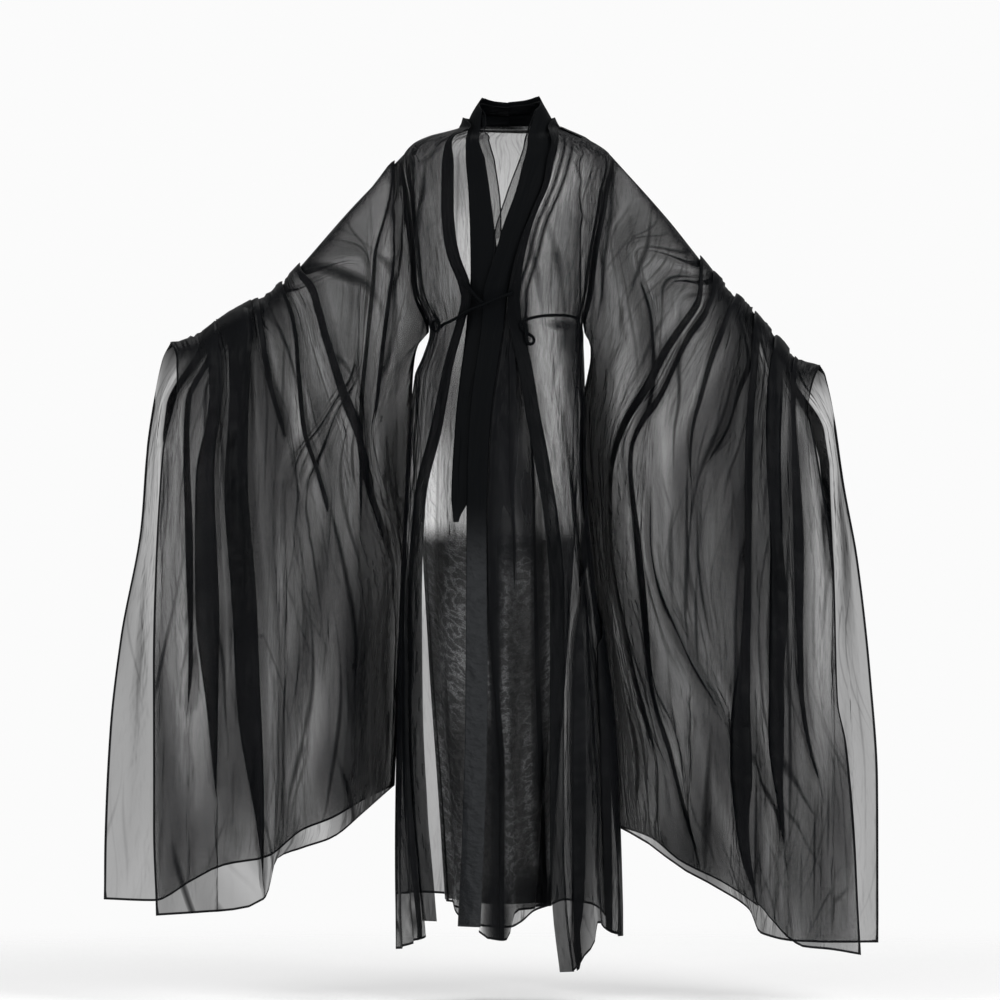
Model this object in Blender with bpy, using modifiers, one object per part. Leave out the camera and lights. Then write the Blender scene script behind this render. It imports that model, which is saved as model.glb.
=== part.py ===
"""Hanfu robe set in sheer black organza: an open outer robe with wide sleeves over a crossed inner robe.

Metres, +Z up. The wearer faces -Y, so their right side is at -X. The origin lies between the shoulders,
where the wearer carries the robe. Heights are given as drops below it, and side sizes as distances out
from the middle. Each cut piece of cloth is an open surface with a Solidify wall.
"""

import math

import bmesh
import bpy
import numpy as np

WALL = 0.0015  # thickness of each cloth wall
BAND_WALL = 0.0020  # the folded neck bands are thicker
SEAM = 0.0004  # from a seam line to each cut edge beside it
SIDE_SEAM = 0.0005  # the same at side seams and armholes, where pieces meet at an angle
ARMHOLE_SEAM = 0.0013  # how far outside the body's armhole edge a sleeve starts
WAIST = 0.384  # drop of the waist and of the armpit
ROW_BELOW_WAIST = 0.513  # the next row of the fronts
ARM_REACH = 0.042  # from the top of the arm to where a sleeve hangs free of it
SWING = 0.030  # how far a sleeve's leaf swings clear of the arm at its hem
RIGHT, LEFT = -1, 1  # which way out from the middle


def table(columns, *rows):
    """Named columns of a short table, a row for each section."""
    return dict(zip(columns.split(), np.array(rows, float).T))


# Drops of the rows over the shoulder, down the armhole and to the waist, shared by every seam there.
SHOULDER_DROPS = np.array([-0.004, 0.002, 0.012, 0.028])
ARMHOLE_DROPS = np.array([0.0475, 0.060, 0.085, 0.12, 0.16, 0.20, 0.25, 0.30, 0.345, WAIST])
SKIRT_ROWS = 9
COLUMNS = {
    "outer_back": 16,
    "outer_front_right": 9,
    "outer_front_left": 10,
    "inner_back": 12,
    "inner_front_right": 7,
    "inner_front_left": 10,
}
USUAL_HEM = 1.49  # the drop at which a hem's place across is first read
FOLDS_GROW_OVER = 0.9  # below the waist, the length over which a skirt's folds reach their depth
EDGE_HELD = 0.12  # the share of a panel beside each seam that carries no folds
UNEVEN, UNEVEN_TURNS = 0.35, 1.7  # how much neighbouring folds differ, and how often that comes round
SLEEVE_JOINED = 0.24  # the share of a sleeve over which its leaves part from the fold by the body
FOLD_STARTS, FOLD_ENDS = 0.10, 0.30  # the shares of its height over which a sleeve's fold grows and fades
NECKLINE_OUTER = -0.004  # the panels' top edges, where the neck bands stand on them
NECKLINE_INNER = -0.010
NECK_EASE = 0.080  # below its neckline, the length over which a band's seam closes to SEAM
NECK_SEAM_WIDER = 5  # how many seams wider it starts, where the band stands up at an angle
BAND_COLUMNS = 2
STRIP_UNDER = 0.006  # how far a lining strip reaches under its collar
STRIP_STAND = (0.45, 0.85)  # the share of the standing collar that its strip covers
STRIP_BEHIND = BAND_WALL / 2 + WALL / 2 + 0.0016  # from a collar's middle back to its strip's
UNDER = -0.006  # the right inner front lies this far inside the left one, which crosses over it
RIGHT_ENDS = (0.75, 0.21)  # the right collar ends above the first drop, and its strip above the second
LEFT_ENDS = (2.0, 0.26)  # the left collar runs to the hem

# Rings of each robe round the body: how far it reaches to the right, left, front and back.
OUTER_WRAP = table(
    "drop right left front back",
    (-0.0260, 0.0835, 0.087, 0.058, 0.080),
    (-0.0040, 0.0930, 0.100, 0.066, 0.086),
    (0.0020, 0.1120, 0.112, 0.070, 0.088),
    (0.0120, 0.1500, 0.136, 0.076, 0.090),
    (0.0280, 0.1820, 0.170, 0.084, 0.094),
    (0.0475, 0.1980, 0.194, 0.093, 0.098),
    (0.0850, 0.2140, 0.207, 0.106, 0.106),
    (0.1400, 0.2170, 0.207, 0.117, 0.112),
    (0.2000, 0.2130, 0.199, 0.122, 0.114),
    (0.3000, 0.1920, 0.173, 0.116, 0.106),
    (0.3840, 0.1480, 0.140, 0.099, 0.093),
    (0.4300, 0.1610, 0.141, 0.102, 0.096),
    (0.4700, 0.1770, 0.142, 0.107, 0.100),
    (0.6000, 0.1900, 0.143, 0.120, 0.115),
    (0.7500, 0.1960, 0.150, 0.134, 0.130),
    (0.9500, 0.2040, 0.178, 0.150, 0.145),
    (1.1000, 0.2070, 0.198, 0.158, 0.152),
    (1.3000, 0.2100, 0.213, 0.168, 0.160),
    (1.6000, 0.2120, 0.220, 0.176, 0.168),
)
INNER_WRAP = table(
    "drop right left front back",
    (-0.0700, 0.0505, 0.0565, 0.038, 0.056),
    (-0.0450, 0.0665, 0.0690, 0.046, 0.063),
    (-0.0250, 0.0775, 0.0800, 0.052, 0.069),
    (-0.0100, 0.0840, 0.0880, 0.057, 0.073),
    (0.0060, 0.1000, 0.1000, 0.061, 0.077),
    (0.0180, 0.1420, 0.1300, 0.068, 0.080),
    (0.0340, 0.1760, 0.1640, 0.075, 0.085),
    (0.0535, 0.1930, 0.1880, 0.085, 0.090),
    (0.0850, 0.2060, 0.1990, 0.097, 0.098),
    (0.1400, 0.2090, 0.1990, 0.108, 0.104),
    (0.2000, 0.2050, 0.1910, 0.113, 0.106),
    (0.3000, 0.1840, 0.1650, 0.107, 0.097),
    (0.3840, 0.1400, 0.1320, 0.089, 0.084),
    (0.4700, 0.1560, 0.1330, 0.092, 0.088),
    (0.6000, 0.1660, 0.1330, 0.096, 0.092),
    (0.7500, 0.1630, 0.1280, 0.098, 0.094),
    (1.0000, 0.1500, 0.1120, 0.096, 0.092),
    (1.3000, 0.1280, 0.0900, 0.090, 0.086),
    (1.6000, 0.1100, 0.0720, 0.086, 0.080),
)

# Where each front's edge runs: its distance out from the middle, below 0 once it has crossed over. Beside
# it the width of its band or collar, how far the free edge stands above the seam, whether it stands there
# (0) or lies flat (1), and how much of the sheer strip shows.
OUTER_RIGHT_EDGE = table(
    "drop out width rise lay",
    (-0.0040, 0.0885, 0.016, 0.016, 0.00),
    (0.0120, 0.1080, 0.017, 0.015, 0.15),
    (0.0285, 0.1190, 0.018, 0.011, 0.52),
    (0.0700, 0.1250, 0.020, 0.001, 1.00),
    (0.1480, 0.1265, 0.021, 0.000, 1.00),
    (0.2090, 0.1216, 0.021, 0.000, 1.00),
    (0.2450, 0.1140, 0.021, 0.000, 1.00),
    (0.2926, 0.0950, 0.020, 0.000, 1.00),
    (0.3230, 0.0880, 0.016, 0.000, 1.00),
    (0.3610, 0.0970, 0.014, 0.000, 1.00),
    (0.4410, 0.1197, 0.015, 0.000, 1.00),
    (0.5660, 0.1460, 0.019, 0.000, 1.00),
    (0.7030, 0.1780, 0.020, 0.000, 1.00),
    (0.8930, 0.1890, 0.023, 0.000, 1.00),
    (1.0830, 0.1880, 0.024, 0.000, 1.00),
    (1.2730, 0.1800, 0.024, 0.000, 1.00),
    (1.4630, 0.1640, 0.024, 0.000, 1.00),
    (1.6000, 0.1530, 0.024, 0.000, 1.00),
)
OUTER_LEFT_EDGE = table(
    "drop out width rise lay",
    (-0.0040, 0.0965, 0.014, 0.016, 0.00),
    (0.0190, 0.0960, 0.013, 0.013, 0.29),
    (0.0610, 0.0874, 0.010, 0.002, 1.00),
    (0.1026, 0.0792, 0.009, 0.000, 1.00),
    (0.1650, 0.0532, 0.008, 0.000, 1.00),
    (0.2090, 0.0400, 0.012, 0.000, 1.00),
    (0.2736, 0.0266, 0.016, 0.000, 1.00),
    (0.3230, 0.0220, 0.020, 0.000, 1.00),
    (0.3686, 0.0266, 0.022, 0.000, 1.00),
    (0.4484, 0.0456, 0.024, 0.000, 1.00),
    (0.5415, 0.0608, 0.024, 0.000, 1.00),
    (0.6270, 0.0773, 0.024, 0.000, 1.00),
    (0.7690, 0.0988, 0.024, 0.000, 1.00),
    (0.8850, 0.1064, 0.024, 0.000, 1.00),
    (1.1000, 0.1060, 0.024, 0.000, 1.00),
    (1.3500, 0.1060, 0.024, 0.000, 1.00),
    (1.4700, 0.1110, 0.024, 0.000, 1.00),
    (1.6000, 0.1260, 0.024, 0.000, 1.00),
)
INNER_RIGHT_EDGE = table(
    "drop out width rise lay shown",
    (-0.0100, 0.0785, 0.0250, 0.0300, 1.00, 0.000),
    (0.0190, 0.0817, 0.0250, 0.0060, 1.00, 0.020),
    (0.0570, 0.0810, 0.0373, -0.0020, 1.00, 0.018),
    (0.1235, 0.0760, 0.0418, 0.0000, 1.00, 0.018),
    (0.2014, 0.0730, 0.0483, 0.0000, 1.00, 0.012),
    (0.2790, 0.0720, 0.0570, 0.0000, 1.00, 0.000),
    (0.3610, 0.0800, 0.0590, 0.0000, 1.00, 0.000),
    (0.5700, 0.1030, 0.0330, 0.0000, 1.00, 0.000),
    (0.7000, 0.1100, 0.0340, 0.0000, 1.00, 0.000),
    (0.7450, 0.1060, 0.0100, 0.0000, 1.00, 0.000),
    (1.6000, 0.0950, 0.0100, 0.0000, 1.00, 0.000),
)
INNER_LEFT_EDGE = table(
    "drop out width rise lay shown",
    (-0.0100, 0.0840, 0.0280, 0.0280, 1.00, 0.001),
    (0.0290, 0.0871, 0.0495, 0.0060, 1.00, 0.006),
    (0.0765, 0.0768, 0.0497, 0.0040, 1.00, 0.010),
    (0.1230, 0.0608, 0.0467, 0.0000, 1.00, 0.016),
    (0.1880, 0.0336, 0.0431, 0.0000, 1.00, 0.014),
    (0.2527, 0.0170, 0.0455, 0.0000, 1.00, 0.001),
    (0.3050, 0.0011, 0.0467, 0.0000, 1.00, 0.000),
    (0.3610, -0.0060, 0.0430, 0.0000, 1.00, 0.000),
    (0.5700, -0.0340, 0.0400, 0.0000, 1.00, 0.000),
    (0.7410, -0.0400, 0.0380, 0.0000, 1.00, 0.000),
    (1.0830, -0.0380, 0.0420, 0.0000, 1.00, 0.000),
    (1.6000, -0.0550, 0.0430, 0.0000, 1.00, 0.000),
)
# How far round a front or the back comes beside the armhole, in degrees from straight ahead or behind.
ARMHOLE_TURN = table(
    "drop turn",
    (0.0475, 90.0),
    (0.0600, 80.0),
    (0.0850, 70.0),
    (0.1400, 62.0),
    (0.2200, 60.0),
    (0.3000, 66.0),
    (0.3450, 76.0),
    (WAIST, 90.0),
)

# Hems: the drop of each lower edge, by its distance out from the middle.
OUTER_BACK_HEM = table(
    "across drop",
    (-0.222, 1.452),
    (-0.115, 1.459),
    (-0.100, 1.495),
    (-0.072, 1.514),
    (-0.040, 1.524),
    (0.004, 1.524),
    (0.027, 1.514),
    (0.048, 1.495),
    (0.070, 1.486),
    (0.120, 1.470),
    (0.156, 1.478),
    (0.184, 1.505),
    (0.200, 1.524),
    (0.217, 1.531),
)
OUTER_RIGHT_HEM = table(
    "across drop", (-0.212, 1.556), (-0.177, 1.537), (-0.160, 1.528), (-0.150, 1.508), (-0.140, 1.496)
)
OUTER_LEFT_HEM = table(
    "across drop",
    (0.100, 1.590),
    (0.118, 1.588),
    (0.131, 1.570),
    (0.154, 1.541),
    (0.162, 1.500),
    (0.184, 1.505),
    (0.200, 1.524),
    (0.217, 1.531),
)
INNER_LEFT_HEM = table(
    "across drop", (-0.053, 1.520), (-0.035, 1.533), (-0.005, 1.535), (0.020, 1.480), (0.072, 1.472)
)
INNER_RIGHT_HEM = table("across drop", (-0.115, 1.465), (-0.095, 1.476))
INNER_BACK_HEM = table("across drop", (-0.115, 1.462), (-0.02, 1.476), (0.072, 1.470))

# Standing part of each neck band, from the centre back round to the side: the drops of its edges.
OUTER_NECK = table(
    "turn low high",
    (179.6, -0.0052, -0.0220),
    (150.0, -0.0052, -0.0220),
    (120.0, -0.0052, -0.0230),
    (95.0, -0.0052, -0.0240),
)
INNER_NECK = table(
    "turn low high",
    (179.5, -0.0112, -0.0560),
    (150.0, -0.0112, -0.0590),
    (120.0, -0.0112, -0.0640),
    (95.0, -0.0112, -0.0650),
)
# Sleeves. share runs along the sleeve from the armhole to the cuff; the ridge lies on the arm.
RIGHT_SLEEVE = {
    "side": RIGHT,
    "ridge": table(
        "share out drop back",
        (0.00, 0.1995, 0.0475, 0.000),
        (0.22, 0.2980, 0.1490, 0.000),
        (0.40, 0.4010, 0.2670, -0.006),
        (0.50, 0.4390, 0.3080, -0.012),
        (0.60, 0.4810, 0.3310, -0.020),
        (0.70, 0.5210, 0.3515, -0.028),
        (0.79, 0.5550, 0.3760, -0.036),
        (0.88, 0.5910, 0.3990, -0.044),
        (1.00, 0.6385, 0.4050, -0.052),
    ),
    "fold": table(
        "drop out back",
        (WAIST, 0.1500, 0.000),
        (0.405, 0.1690, 0.006),
        (0.430, 0.1765, 0.014),
        (0.470, 0.1810, 0.030),
        (0.600, 0.1860, 0.072),
        (0.800, 0.1960, 0.100),
        (1.000, 0.2060, 0.118),
        (1.250, 0.2170, 0.128),
    ),
    "front_cuff": table(
        "drop out",
        (0.4050, 0.6385),
        (0.4330, 0.6260),
        (0.4900, 0.6250),
        (0.5320, 0.6346),
        (0.6020, 0.6517),
        (0.6650, 0.6574),
        (0.8170, 0.6650),
        (1.0165, 0.6690),
        (1.3190, 0.6690),
        (1.4860, 0.6630),
    ),
    "back_cuff": table(
        "drop out",
        (0.4050, 0.6385),
        (0.4328, 0.6547),
        (0.4967, 0.6686),
        (0.6132, 0.6860),
        (0.7520, 0.6970),
        (0.9670, 0.7370),
        (1.1420, 0.7570),
        (1.3530, 0.7670),
        (1.4630, 0.7690),
    ),
    "front_hem": table(
        "out drop",
        (0.217, 1.250),
        (0.275, 1.298),
        (0.334, 1.343),
        (0.391, 1.362),
        (0.436, 1.380),
        (0.456, 1.452),
        (0.498, 1.474),
        (0.560, 1.480),
        (0.663, 1.486),
    ),
    "back_hem": table(
        "out drop",
        (0.217, 1.250),
        (0.275, 1.277),
        (0.334, 1.311),
        (0.391, 1.334),
        (0.462, 1.387),
        (0.545, 1.402),
        (0.602, 1.431),
        (0.671, 1.467),
        (0.766, 1.463),
    ),
}
LEFT_SLEEVE = {
    "side": LEFT,
    "ridge": table(
        "share out drop back",
        (0.00, 0.1955, 0.0475, 0.000),
        (0.25, 0.3040, 0.1690, 0.000),
        (0.40, 0.3910, 0.2790, -0.006),
        (0.50, 0.4160, 0.3080, -0.012),
        (0.62, 0.4655, 0.3500, -0.022),
        (0.74, 0.5110, 0.4070, -0.032),
        (0.87, 0.5510, 0.4465, -0.042),
        (1.00, 0.5910, 0.4480, -0.052),
    ),
    "fold": table(
        "drop out back",
        (WAIST, 0.1450, 0.000),
        (0.405, 0.1570, 0.010),
        (0.430, 0.1575, 0.022),
        (0.470, 0.1510, 0.050),
        (0.520, 0.1410, 0.076),
        (0.600, 0.1370, 0.094),
        (0.700, 0.1420, 0.108),
        (0.900, 0.1620, 0.128),
        (1.100, 0.1860, 0.138),
        (1.330, 0.2100, 0.142),
    ),
    "front_cuff": table(
        "drop out",
        (0.4480, 0.5910),
        (0.4770, 0.5765),
        (0.5320, 0.5654),
        (0.6000, 0.5790),
        (0.7030, 0.5970),
        (0.8150, 0.6140),
        (1.0830, 0.6230),
        (1.1630, 0.6380),
        (1.3510, 0.6536),
        (1.5600, 0.6650),
    ),
    "back_cuff": table(
        "drop out",
        (0.4480, 0.5910),
        (0.4575, 0.5990),
        (0.5520, 0.6190),
        (0.6610, 0.6346),
        (0.8150, 0.6640),
        (1.0450, 0.6900),
        (1.2350, 0.7030),
        (1.5450, 0.7050),
    ),
    "front_hem": table(
        "out drop",
        (0.210, 1.338),
        (0.270, 1.352),
        (0.327, 1.393),
        (0.403, 1.429),
        (0.473, 1.474),
        (0.498, 1.499),
        (0.528, 1.531),
        (0.560, 1.5485),
        (0.608, 1.552),
        (0.665, 1.560),
    ),
    "back_hem": table(
        "out drop",
        (0.210, 1.338),
        (0.270, 1.370),
        (0.327, 1.412),
        (0.403, 1.453),
        (0.458, 1.490),
        (0.479, 1.535),
        (0.560, 1.5485),
        (0.600, 1.548),
        (0.699, 1.545),
    ),
}
# Rows down a sleeve, as shares of its length: the first ten run beside the armhole.
SLEEVE_ROWS = np.array(
    [0, 0.006, 0.018, 0.04, 0.075, 0.115, 0.165, 0.22, 0.28, 0.34]
    + [0.36, 0.385, 0.43, 0.51, 0.6, 0.7, 0.8, 0.9, 1]
)
SLEEVE_COLUMNS = 21

# Sleeve folds: where each starts on the ridge and ends at the hem, as shares, its half width and its depth.
RIGHT_SLEEVE_FOLDS = table(
    "top bottom width depth start end",
    (0.38, -0.16, 0.045, 0.011, 0.06, 0.60),
    (0.42, 0.10, 0.045, 0.012, 0.02, 0.90),
    (0.48, 0.26, 0.045, 0.012, 0.02, 1.00),
    (0.55, 0.40, 0.045, 0.014, 0.01, 1.20),
    (0.64, 0.53, 0.050, 0.022, 0.01, 1.40),
    (0.76, 0.71, 0.045, 0.018, 0.01, 1.30),
    (0.88, 0.87, 0.045, 0.012, 0.02, 1.00),
)
LEFT_SLEEVE_FOLDS = table(
    "top bottom width depth start end",
    (0.38, -0.14, 0.045, 0.011, 0.06, 0.60),
    (0.42, 0.08, 0.045, 0.012, 0.02, 0.90),
    (0.47, 0.22, 0.045, 0.012, 0.02, 1.00),
    (0.54, 0.36, 0.045, 0.013, 0.01, 1.20),
    (0.64, 0.54, 0.050, 0.022, 0.01, 1.40),
    (0.76, 0.72, 0.045, 0.018, 0.01, 1.30),
    (0.88, 0.87, 0.045, 0.012, 0.02, 1.00),
)

# Folds of each skirt: how many across the piece, how deep at the hem, and where the first one stands.
SKIRT_FOLDS = {
    "outer_back": (5.0, 0.016, 0.3),
    "outer_front_right": (2.5, 0.014, 0.0),
    "outer_front_left": (2.5, 0.013, 0.5),
    "inner_back": (4.0, 0.009, 0.2),
    "inner_front_right": (1.5, 0.005, 0.0),
    "inner_front_left": (3.5, 0.008, 0.4),
}

# Ties: the points each runs through, on the outer robe: distance across it, drop, and height above it.
TIE_THICKNESS = 0.0036
TIE_STEPS = 3  # straight stretches between one point and the next
TIES = {
    "front_tie_right": table(
        "across drop lift",
        (-0.0800, 0.2950, 0.0032),
        (-0.0700, 0.3060, 0.0034),
        (-0.0590, 0.3190, 0.0034),
        (-0.0450, 0.3320, 0.0032),
    ),
    "front_tie_left": table(
        "across drop lift",
        (0.0080, 0.3120, 0.0032),
        (-0.0150, 0.3200, 0.0060),
        (-0.0500, 0.3345, 0.0074),
        (-0.0684, 0.3420, 0.0045),
        (-0.0874, 0.3534, 0.0036),
        (-0.1080, 0.3650, 0.0038),
        (-0.1180, 0.3690, 0.0038),
    ),
    "side_tie_left": table(
        "across drop lift",
        (0.1280, 0.3580, 0.0030),
        (0.1140, 0.3540, 0.0030),
        (0.0850, 0.3530, 0.0036),
        (0.0550, 0.3560, 0.0038),
        (0.0300, 0.3640, 0.0045),
        (0.0240, 0.3740, 0.0050),
        (0.0330, 0.3860, 0.0050),
        (0.0460, 0.3960, 0.0050),
        (0.0470, 0.4060, 0.0050),
        (0.0390, 0.4090, 0.0055),
        (0.0340, 0.3990, 0.0075),
        (0.0330, 0.3820, 0.0095),
        (0.0300, 0.3660, 0.0090),
    ),
    "side_tie_right": table(
        "across drop lift",
        (-0.1240, 0.3770, 0.0029),
        (-0.1310, 0.3650, 0.0029),
        (-0.1380, 0.3640, 0.0030),
        (-0.1410, 0.3710, 0.0032),
        (-0.1370, 0.3810, 0.0040),
        (-0.1300, 0.3830, 0.0056),
        (-0.1240, 0.3740, 0.0078),
        (-0.1280, 0.3600, 0.0074),
        (-0.1360, 0.3500, 0.0060),
    ),
}

BLACK_ORGANZA = ((0.012, 0.013, 0.015), 0.45)
BLACK_SATIN = ((0.010, 0.011, 0.012), 0.32)
BLACK_BAND = ((0.006, 0.007, 0.009), 0.60)


def eased(xs, ys, x):
    """The monotone cubic through (xs, ys) at x, held level beyond its ends."""
    x = np.clip(x, xs[0], xs[-1])
    step = np.diff(xs)
    slope = np.diff(ys) / step
    product = slope[:-1] * slope[1:]
    total = np.where(product > 0, slope[:-1] + slope[1:], 1.0)
    tangent = np.concatenate([slope[:1], np.where(product > 0, 2 * product / total, 0.0), slope[-1:]])
    i = np.clip(np.searchsorted(xs, x, side="right") - 1, 0, len(step) - 1)
    t = (x - xs[i]) / step[i]
    rise = step[i] * (t * (1 - t) ** 2 * tangent[i] + t * t * (t - 1) * tangent[i + 1])
    return (1 + 2 * t) * (1 - t) ** 2 * ys[i] + t * t * (3 - 2 * t) * ys[i + 1] + rise


def ease_in(t):
    """0 to 1, level at both ends."""
    t = np.clip(t, 0, 1)
    return t * t * (3 - 2 * t)


def ring_sizes(wrap, drop):
    """Middle, half width, front and back of a robe's ring at each drop."""
    sizes = ("right", "left", "front", "back")
    right, left, front, back = (eased(wrap["drop"], wrap[k], drop) for k in sizes)
    return (left - right) / 2, (left + right) / 2, front, back


def on_wrap(wrap, drop, turn):
    """Points of a robe's surface. turn is 0 straight ahead, +90 degrees at the wearer's left, 180 behind."""
    middle, half, front, back = ring_sizes(wrap, drop)
    depth = np.where(np.cos(turn) > 0, front, back)
    return np.stack([middle + half * np.sin(turn), -depth * np.cos(turn), -drop], axis=-1)


def lifted(wrap, drop, turn, lift):
    """Points a distance outside a robe's surface, along its normal."""
    small = 1e-4
    along = on_wrap(wrap, drop, turn + small) - on_wrap(wrap, drop, turn - small)
    down = on_wrap(wrap, drop + small, turn) - on_wrap(wrap, drop - small, turn)
    normal = np.cross(down, along)
    normal /= np.linalg.norm(normal, axis=-1, keepdims=True)
    return on_wrap(wrap, drop, turn) + normal * np.asarray(lift)[..., None]


def turn_at(wrap, drop, across):
    """How far round the front of a robe a distance across it lies."""
    middle, half, _, _ = ring_sizes(wrap, drop)
    return np.arcsin(np.clip((across - middle) / half, -1, 1))


def wrap_top(wrap):
    """The drop of a robe's neckline, above which only its neck bands stand."""
    return NECKLINE_OUTER if wrap is OUTER_WRAP else NECKLINE_INNER


def side_turn(wrap, drop):
    """How far round the side edges of front and back lie from straight ahead: a seam, or the armhole."""
    _, half, _, _ = ring_sizes(wrap, drop)
    return np.radians(eased(ARMHOLE_TURN["drop"], ARMHOLE_TURN["turn"], drop)) - SIDE_SEAM / half


def panel_drops(hem, first, columns):
    """Row by row drops of a panel: level to the waist, then shared out down to its hem."""
    upper = np.concatenate([SHOULDER_DROPS + first, ARMHOLE_DROPS])
    down = np.arange(1, SKIRT_ROWS + 1)[:, None] / SKIRT_ROWS
    lower = WAIST + down * (hem - WAIST)
    return np.concatenate([np.repeat(upper[:, None], columns, axis=1), lower])


def skirt_wave(name, drop, share):
    """Height of a skirt's folds: none at the waist, deepest at the hem."""
    count, depth, first = SKIRT_FOLDS[name]
    grown = ease_in((drop - WAIST) / FOLDS_GROW_OVER)
    held = ease_in(share / EDGE_HELD) * ease_in((1 - share) / EDGE_HELD)
    uneven = 1 + UNEVEN * np.sin(2 * math.pi * (UNEVEN_TURNS * share + first))
    return depth * grown * held * uneven * np.sin(2 * math.pi * (count * share + first))


def front_drops(wrap, edge, side, hem, columns):
    """Row by row drops of a front, each column ending at the hem."""
    first = wrap_top(wrap) - SHOULDER_DROPS[0]
    drop = panel_drops(np.full(columns + 1, USUAL_HEM), first, columns + 1)
    across = on_wrap(wrap, drop, front_turns(wrap, edge, side, drop))[-1, :, 0]
    return panel_drops(eased(hem["across"], hem["drop"], across), first, columns + 1)


def front_turns(wrap, edge, side, drop):
    """How far round each point of a front lies, from its own edge out to the seams at its side."""
    share = np.linspace(0, 1, drop.shape[1])
    near = turn_at(wrap, drop, side * (eased(edge["drop"], edge["out"], drop) + SEAM))
    far = side * side_turn(wrap, drop)
    return near + (far - near) * share


def front_panel(name, wrap, edge, side, hem, lift):
    """Grid of a front: from its edge round to the shoulder seam, armhole and side seam."""
    drop = front_drops(wrap, edge, side, hem, COLUMNS[name])
    turn = front_turns(wrap, edge, side, drop)
    return lifted(wrap, drop, turn, lift + skirt_wave(name, drop, np.linspace(0, 1, COLUMNS[name] + 1)))


def back_panel(name, wrap, hem):
    """Grid of a back: from the right side seam round behind to the left one."""
    columns = COLUMNS[name]
    share = np.linspace(0, 1, columns + 1)
    first = wrap_top(wrap) - SHOULDER_DROPS[0]
    drop = panel_drops(np.full(columns + 1, USUAL_HEM), first, columns + 1)
    turn = math.pi - (2 * share - 1) * side_turn(wrap, drop)
    across = on_wrap(wrap, drop, turn)[-1, :, 0]
    drop = panel_drops(eased(hem["across"], hem["drop"], across), first, columns + 1)
    turn = math.pi - (2 * share - 1) * side_turn(wrap, drop)
    return lifted(wrap, drop, turn, skirt_wave(name, drop, share))


def neck_band(wrap, stand, drops, edge, side, lift, shares=None):
    """Grid of a neck band: round the neck from its centre back, then down the front beside its seam.

    shares runs across it from its seam at 0 to its free edge at 1, the same for each row unless given.
    """
    level = ease_in((drops - drops[0]) / NECK_EASE)
    seam = eased(edge["drop"], edge["out"], drops) - SEAM * (1 + NECK_SEAM_WIDER * (1 - level))
    free = seam - eased(edge["drop"], edge["width"], drops)
    rise = eased(edge["drop"], edge["rise"], drops)
    behind = side * np.radians(stand["turn"])
    near = turn_at(wrap, drops, side * seam)
    far = near + (turn_at(wrap, drops - rise, side * free) - near) * eased(edge["drop"], edge["lay"], drops)
    near = np.concatenate([behind, near])[:, None]
    far = np.concatenate([behind, far])[:, None]
    low = np.concatenate([stand["low"], drops])[:, None]
    high = np.concatenate([stand["high"], drops - rise])[:, None]
    if shares is None:
        shares = np.linspace(0, 1, BAND_COLUMNS + 1)[None]
    drop = low + (high - low) * shares
    return lifted(wrap, drop, near + (far - near) * shares, np.full(drop.shape, lift))


def neck_strip(drops, edge, side, lift):
    """Grid of the sheer strip behind a collar: round the neck under it, then beyond its free edge."""
    width = eased(edge["drop"], edge["width"], drops)
    under = np.concatenate([np.full(len(INNER_NECK["turn"]), STRIP_STAND[0]), 1 - STRIP_UNDER / width])
    shown = eased(edge["drop"], edge["shown"], drops) / width
    beyond = np.concatenate([np.full(len(INNER_NECK["turn"]), STRIP_STAND[1]), 1 + shown])
    return neck_band(INNER_WRAP, INNER_NECK, drops, edge, side, lift, np.stack([under, beyond], axis=1))


def sleeve_leaf(sleeve, folds, facing):
    """Grid of one leaf of a sleeve, facing -1 for the front and +1 for the back."""
    side = sleeve["side"]
    share = np.linspace(0, 1, SLEEVE_COLUMNS + 1)
    line = sleeve["ridge"]
    ridge = np.stack([eased(line["share"], line[k], share) for k in ("out", "drop")], -1)
    inner, inner_back = inner_edge(sleeve, facing)
    leaf = "front" if facing < 0 else "back"
    cuff, hem = sleeve[leaf + "_cuff"], sleeve[leaf + "_hem"]
    cuff_drop = cuff["drop"][0] + SLEEVE_ROWS * (cuff["drop"][-1] - cuff["drop"][0])
    cuff_line = np.stack([eased(cuff["drop"], cuff["out"], cuff_drop), cuff_drop], -1)
    hem_out = hem["out"][0] + share * (hem["out"][-1] - hem["out"][0])
    hem_line = np.stack([hem_out, eased(hem["out"], hem["drop"], hem_out)], -1)
    down, along = SLEEVE_ROWS[:, None, None], share[None, :, None]
    sheet = (1 - along) * inner[:, None] + along * cuff_line[:, None]
    sheet = sheet + (1 - down) * ridge[None] + down * hem_line[None]
    corners = (1 - along) * ((1 - down) * ridge[0] + down * hem_line[0])
    corners = corners + along * ((1 - down) * ridge[-1] + down * hem_line[-1])
    sheet = sheet - corners
    below = np.clip((sheet[..., 1] - ridge[None, :, 1]) / ARM_REACH, 0, 1)
    arm = eased(line["share"], line["back"], share)
    hang = np.sqrt(1 - (1 - below) ** 2) * ARM_REACH + SWING * SLEEVE_ROWS[:, None]
    free = arm + facing * hang
    joined = ease_in(share / SLEEVE_JOINED)
    back = inner_back[:, None] * (1 - joined) + free * joined
    for row in range(len(folds["top"])):
        top, bottom, width, depth, start, end = (folds[k][row] for k in folds)
        course = top + (bottom - top) * np.sqrt(SLEEVE_ROWS)[:, None]
        shape = np.exp(-(((share[None] - course) / width) ** 2))
        fade = ease_in((SLEEVE_ROWS - start) / FOLD_STARTS) * ease_in((end - SLEEVE_ROWS) / FOLD_ENDS)
        back = back + facing * depth * shape * fade[:, None] * joined
    return np.stack([side * sheet[..., 0], back, -sheet[..., 1]], axis=-1)


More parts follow.
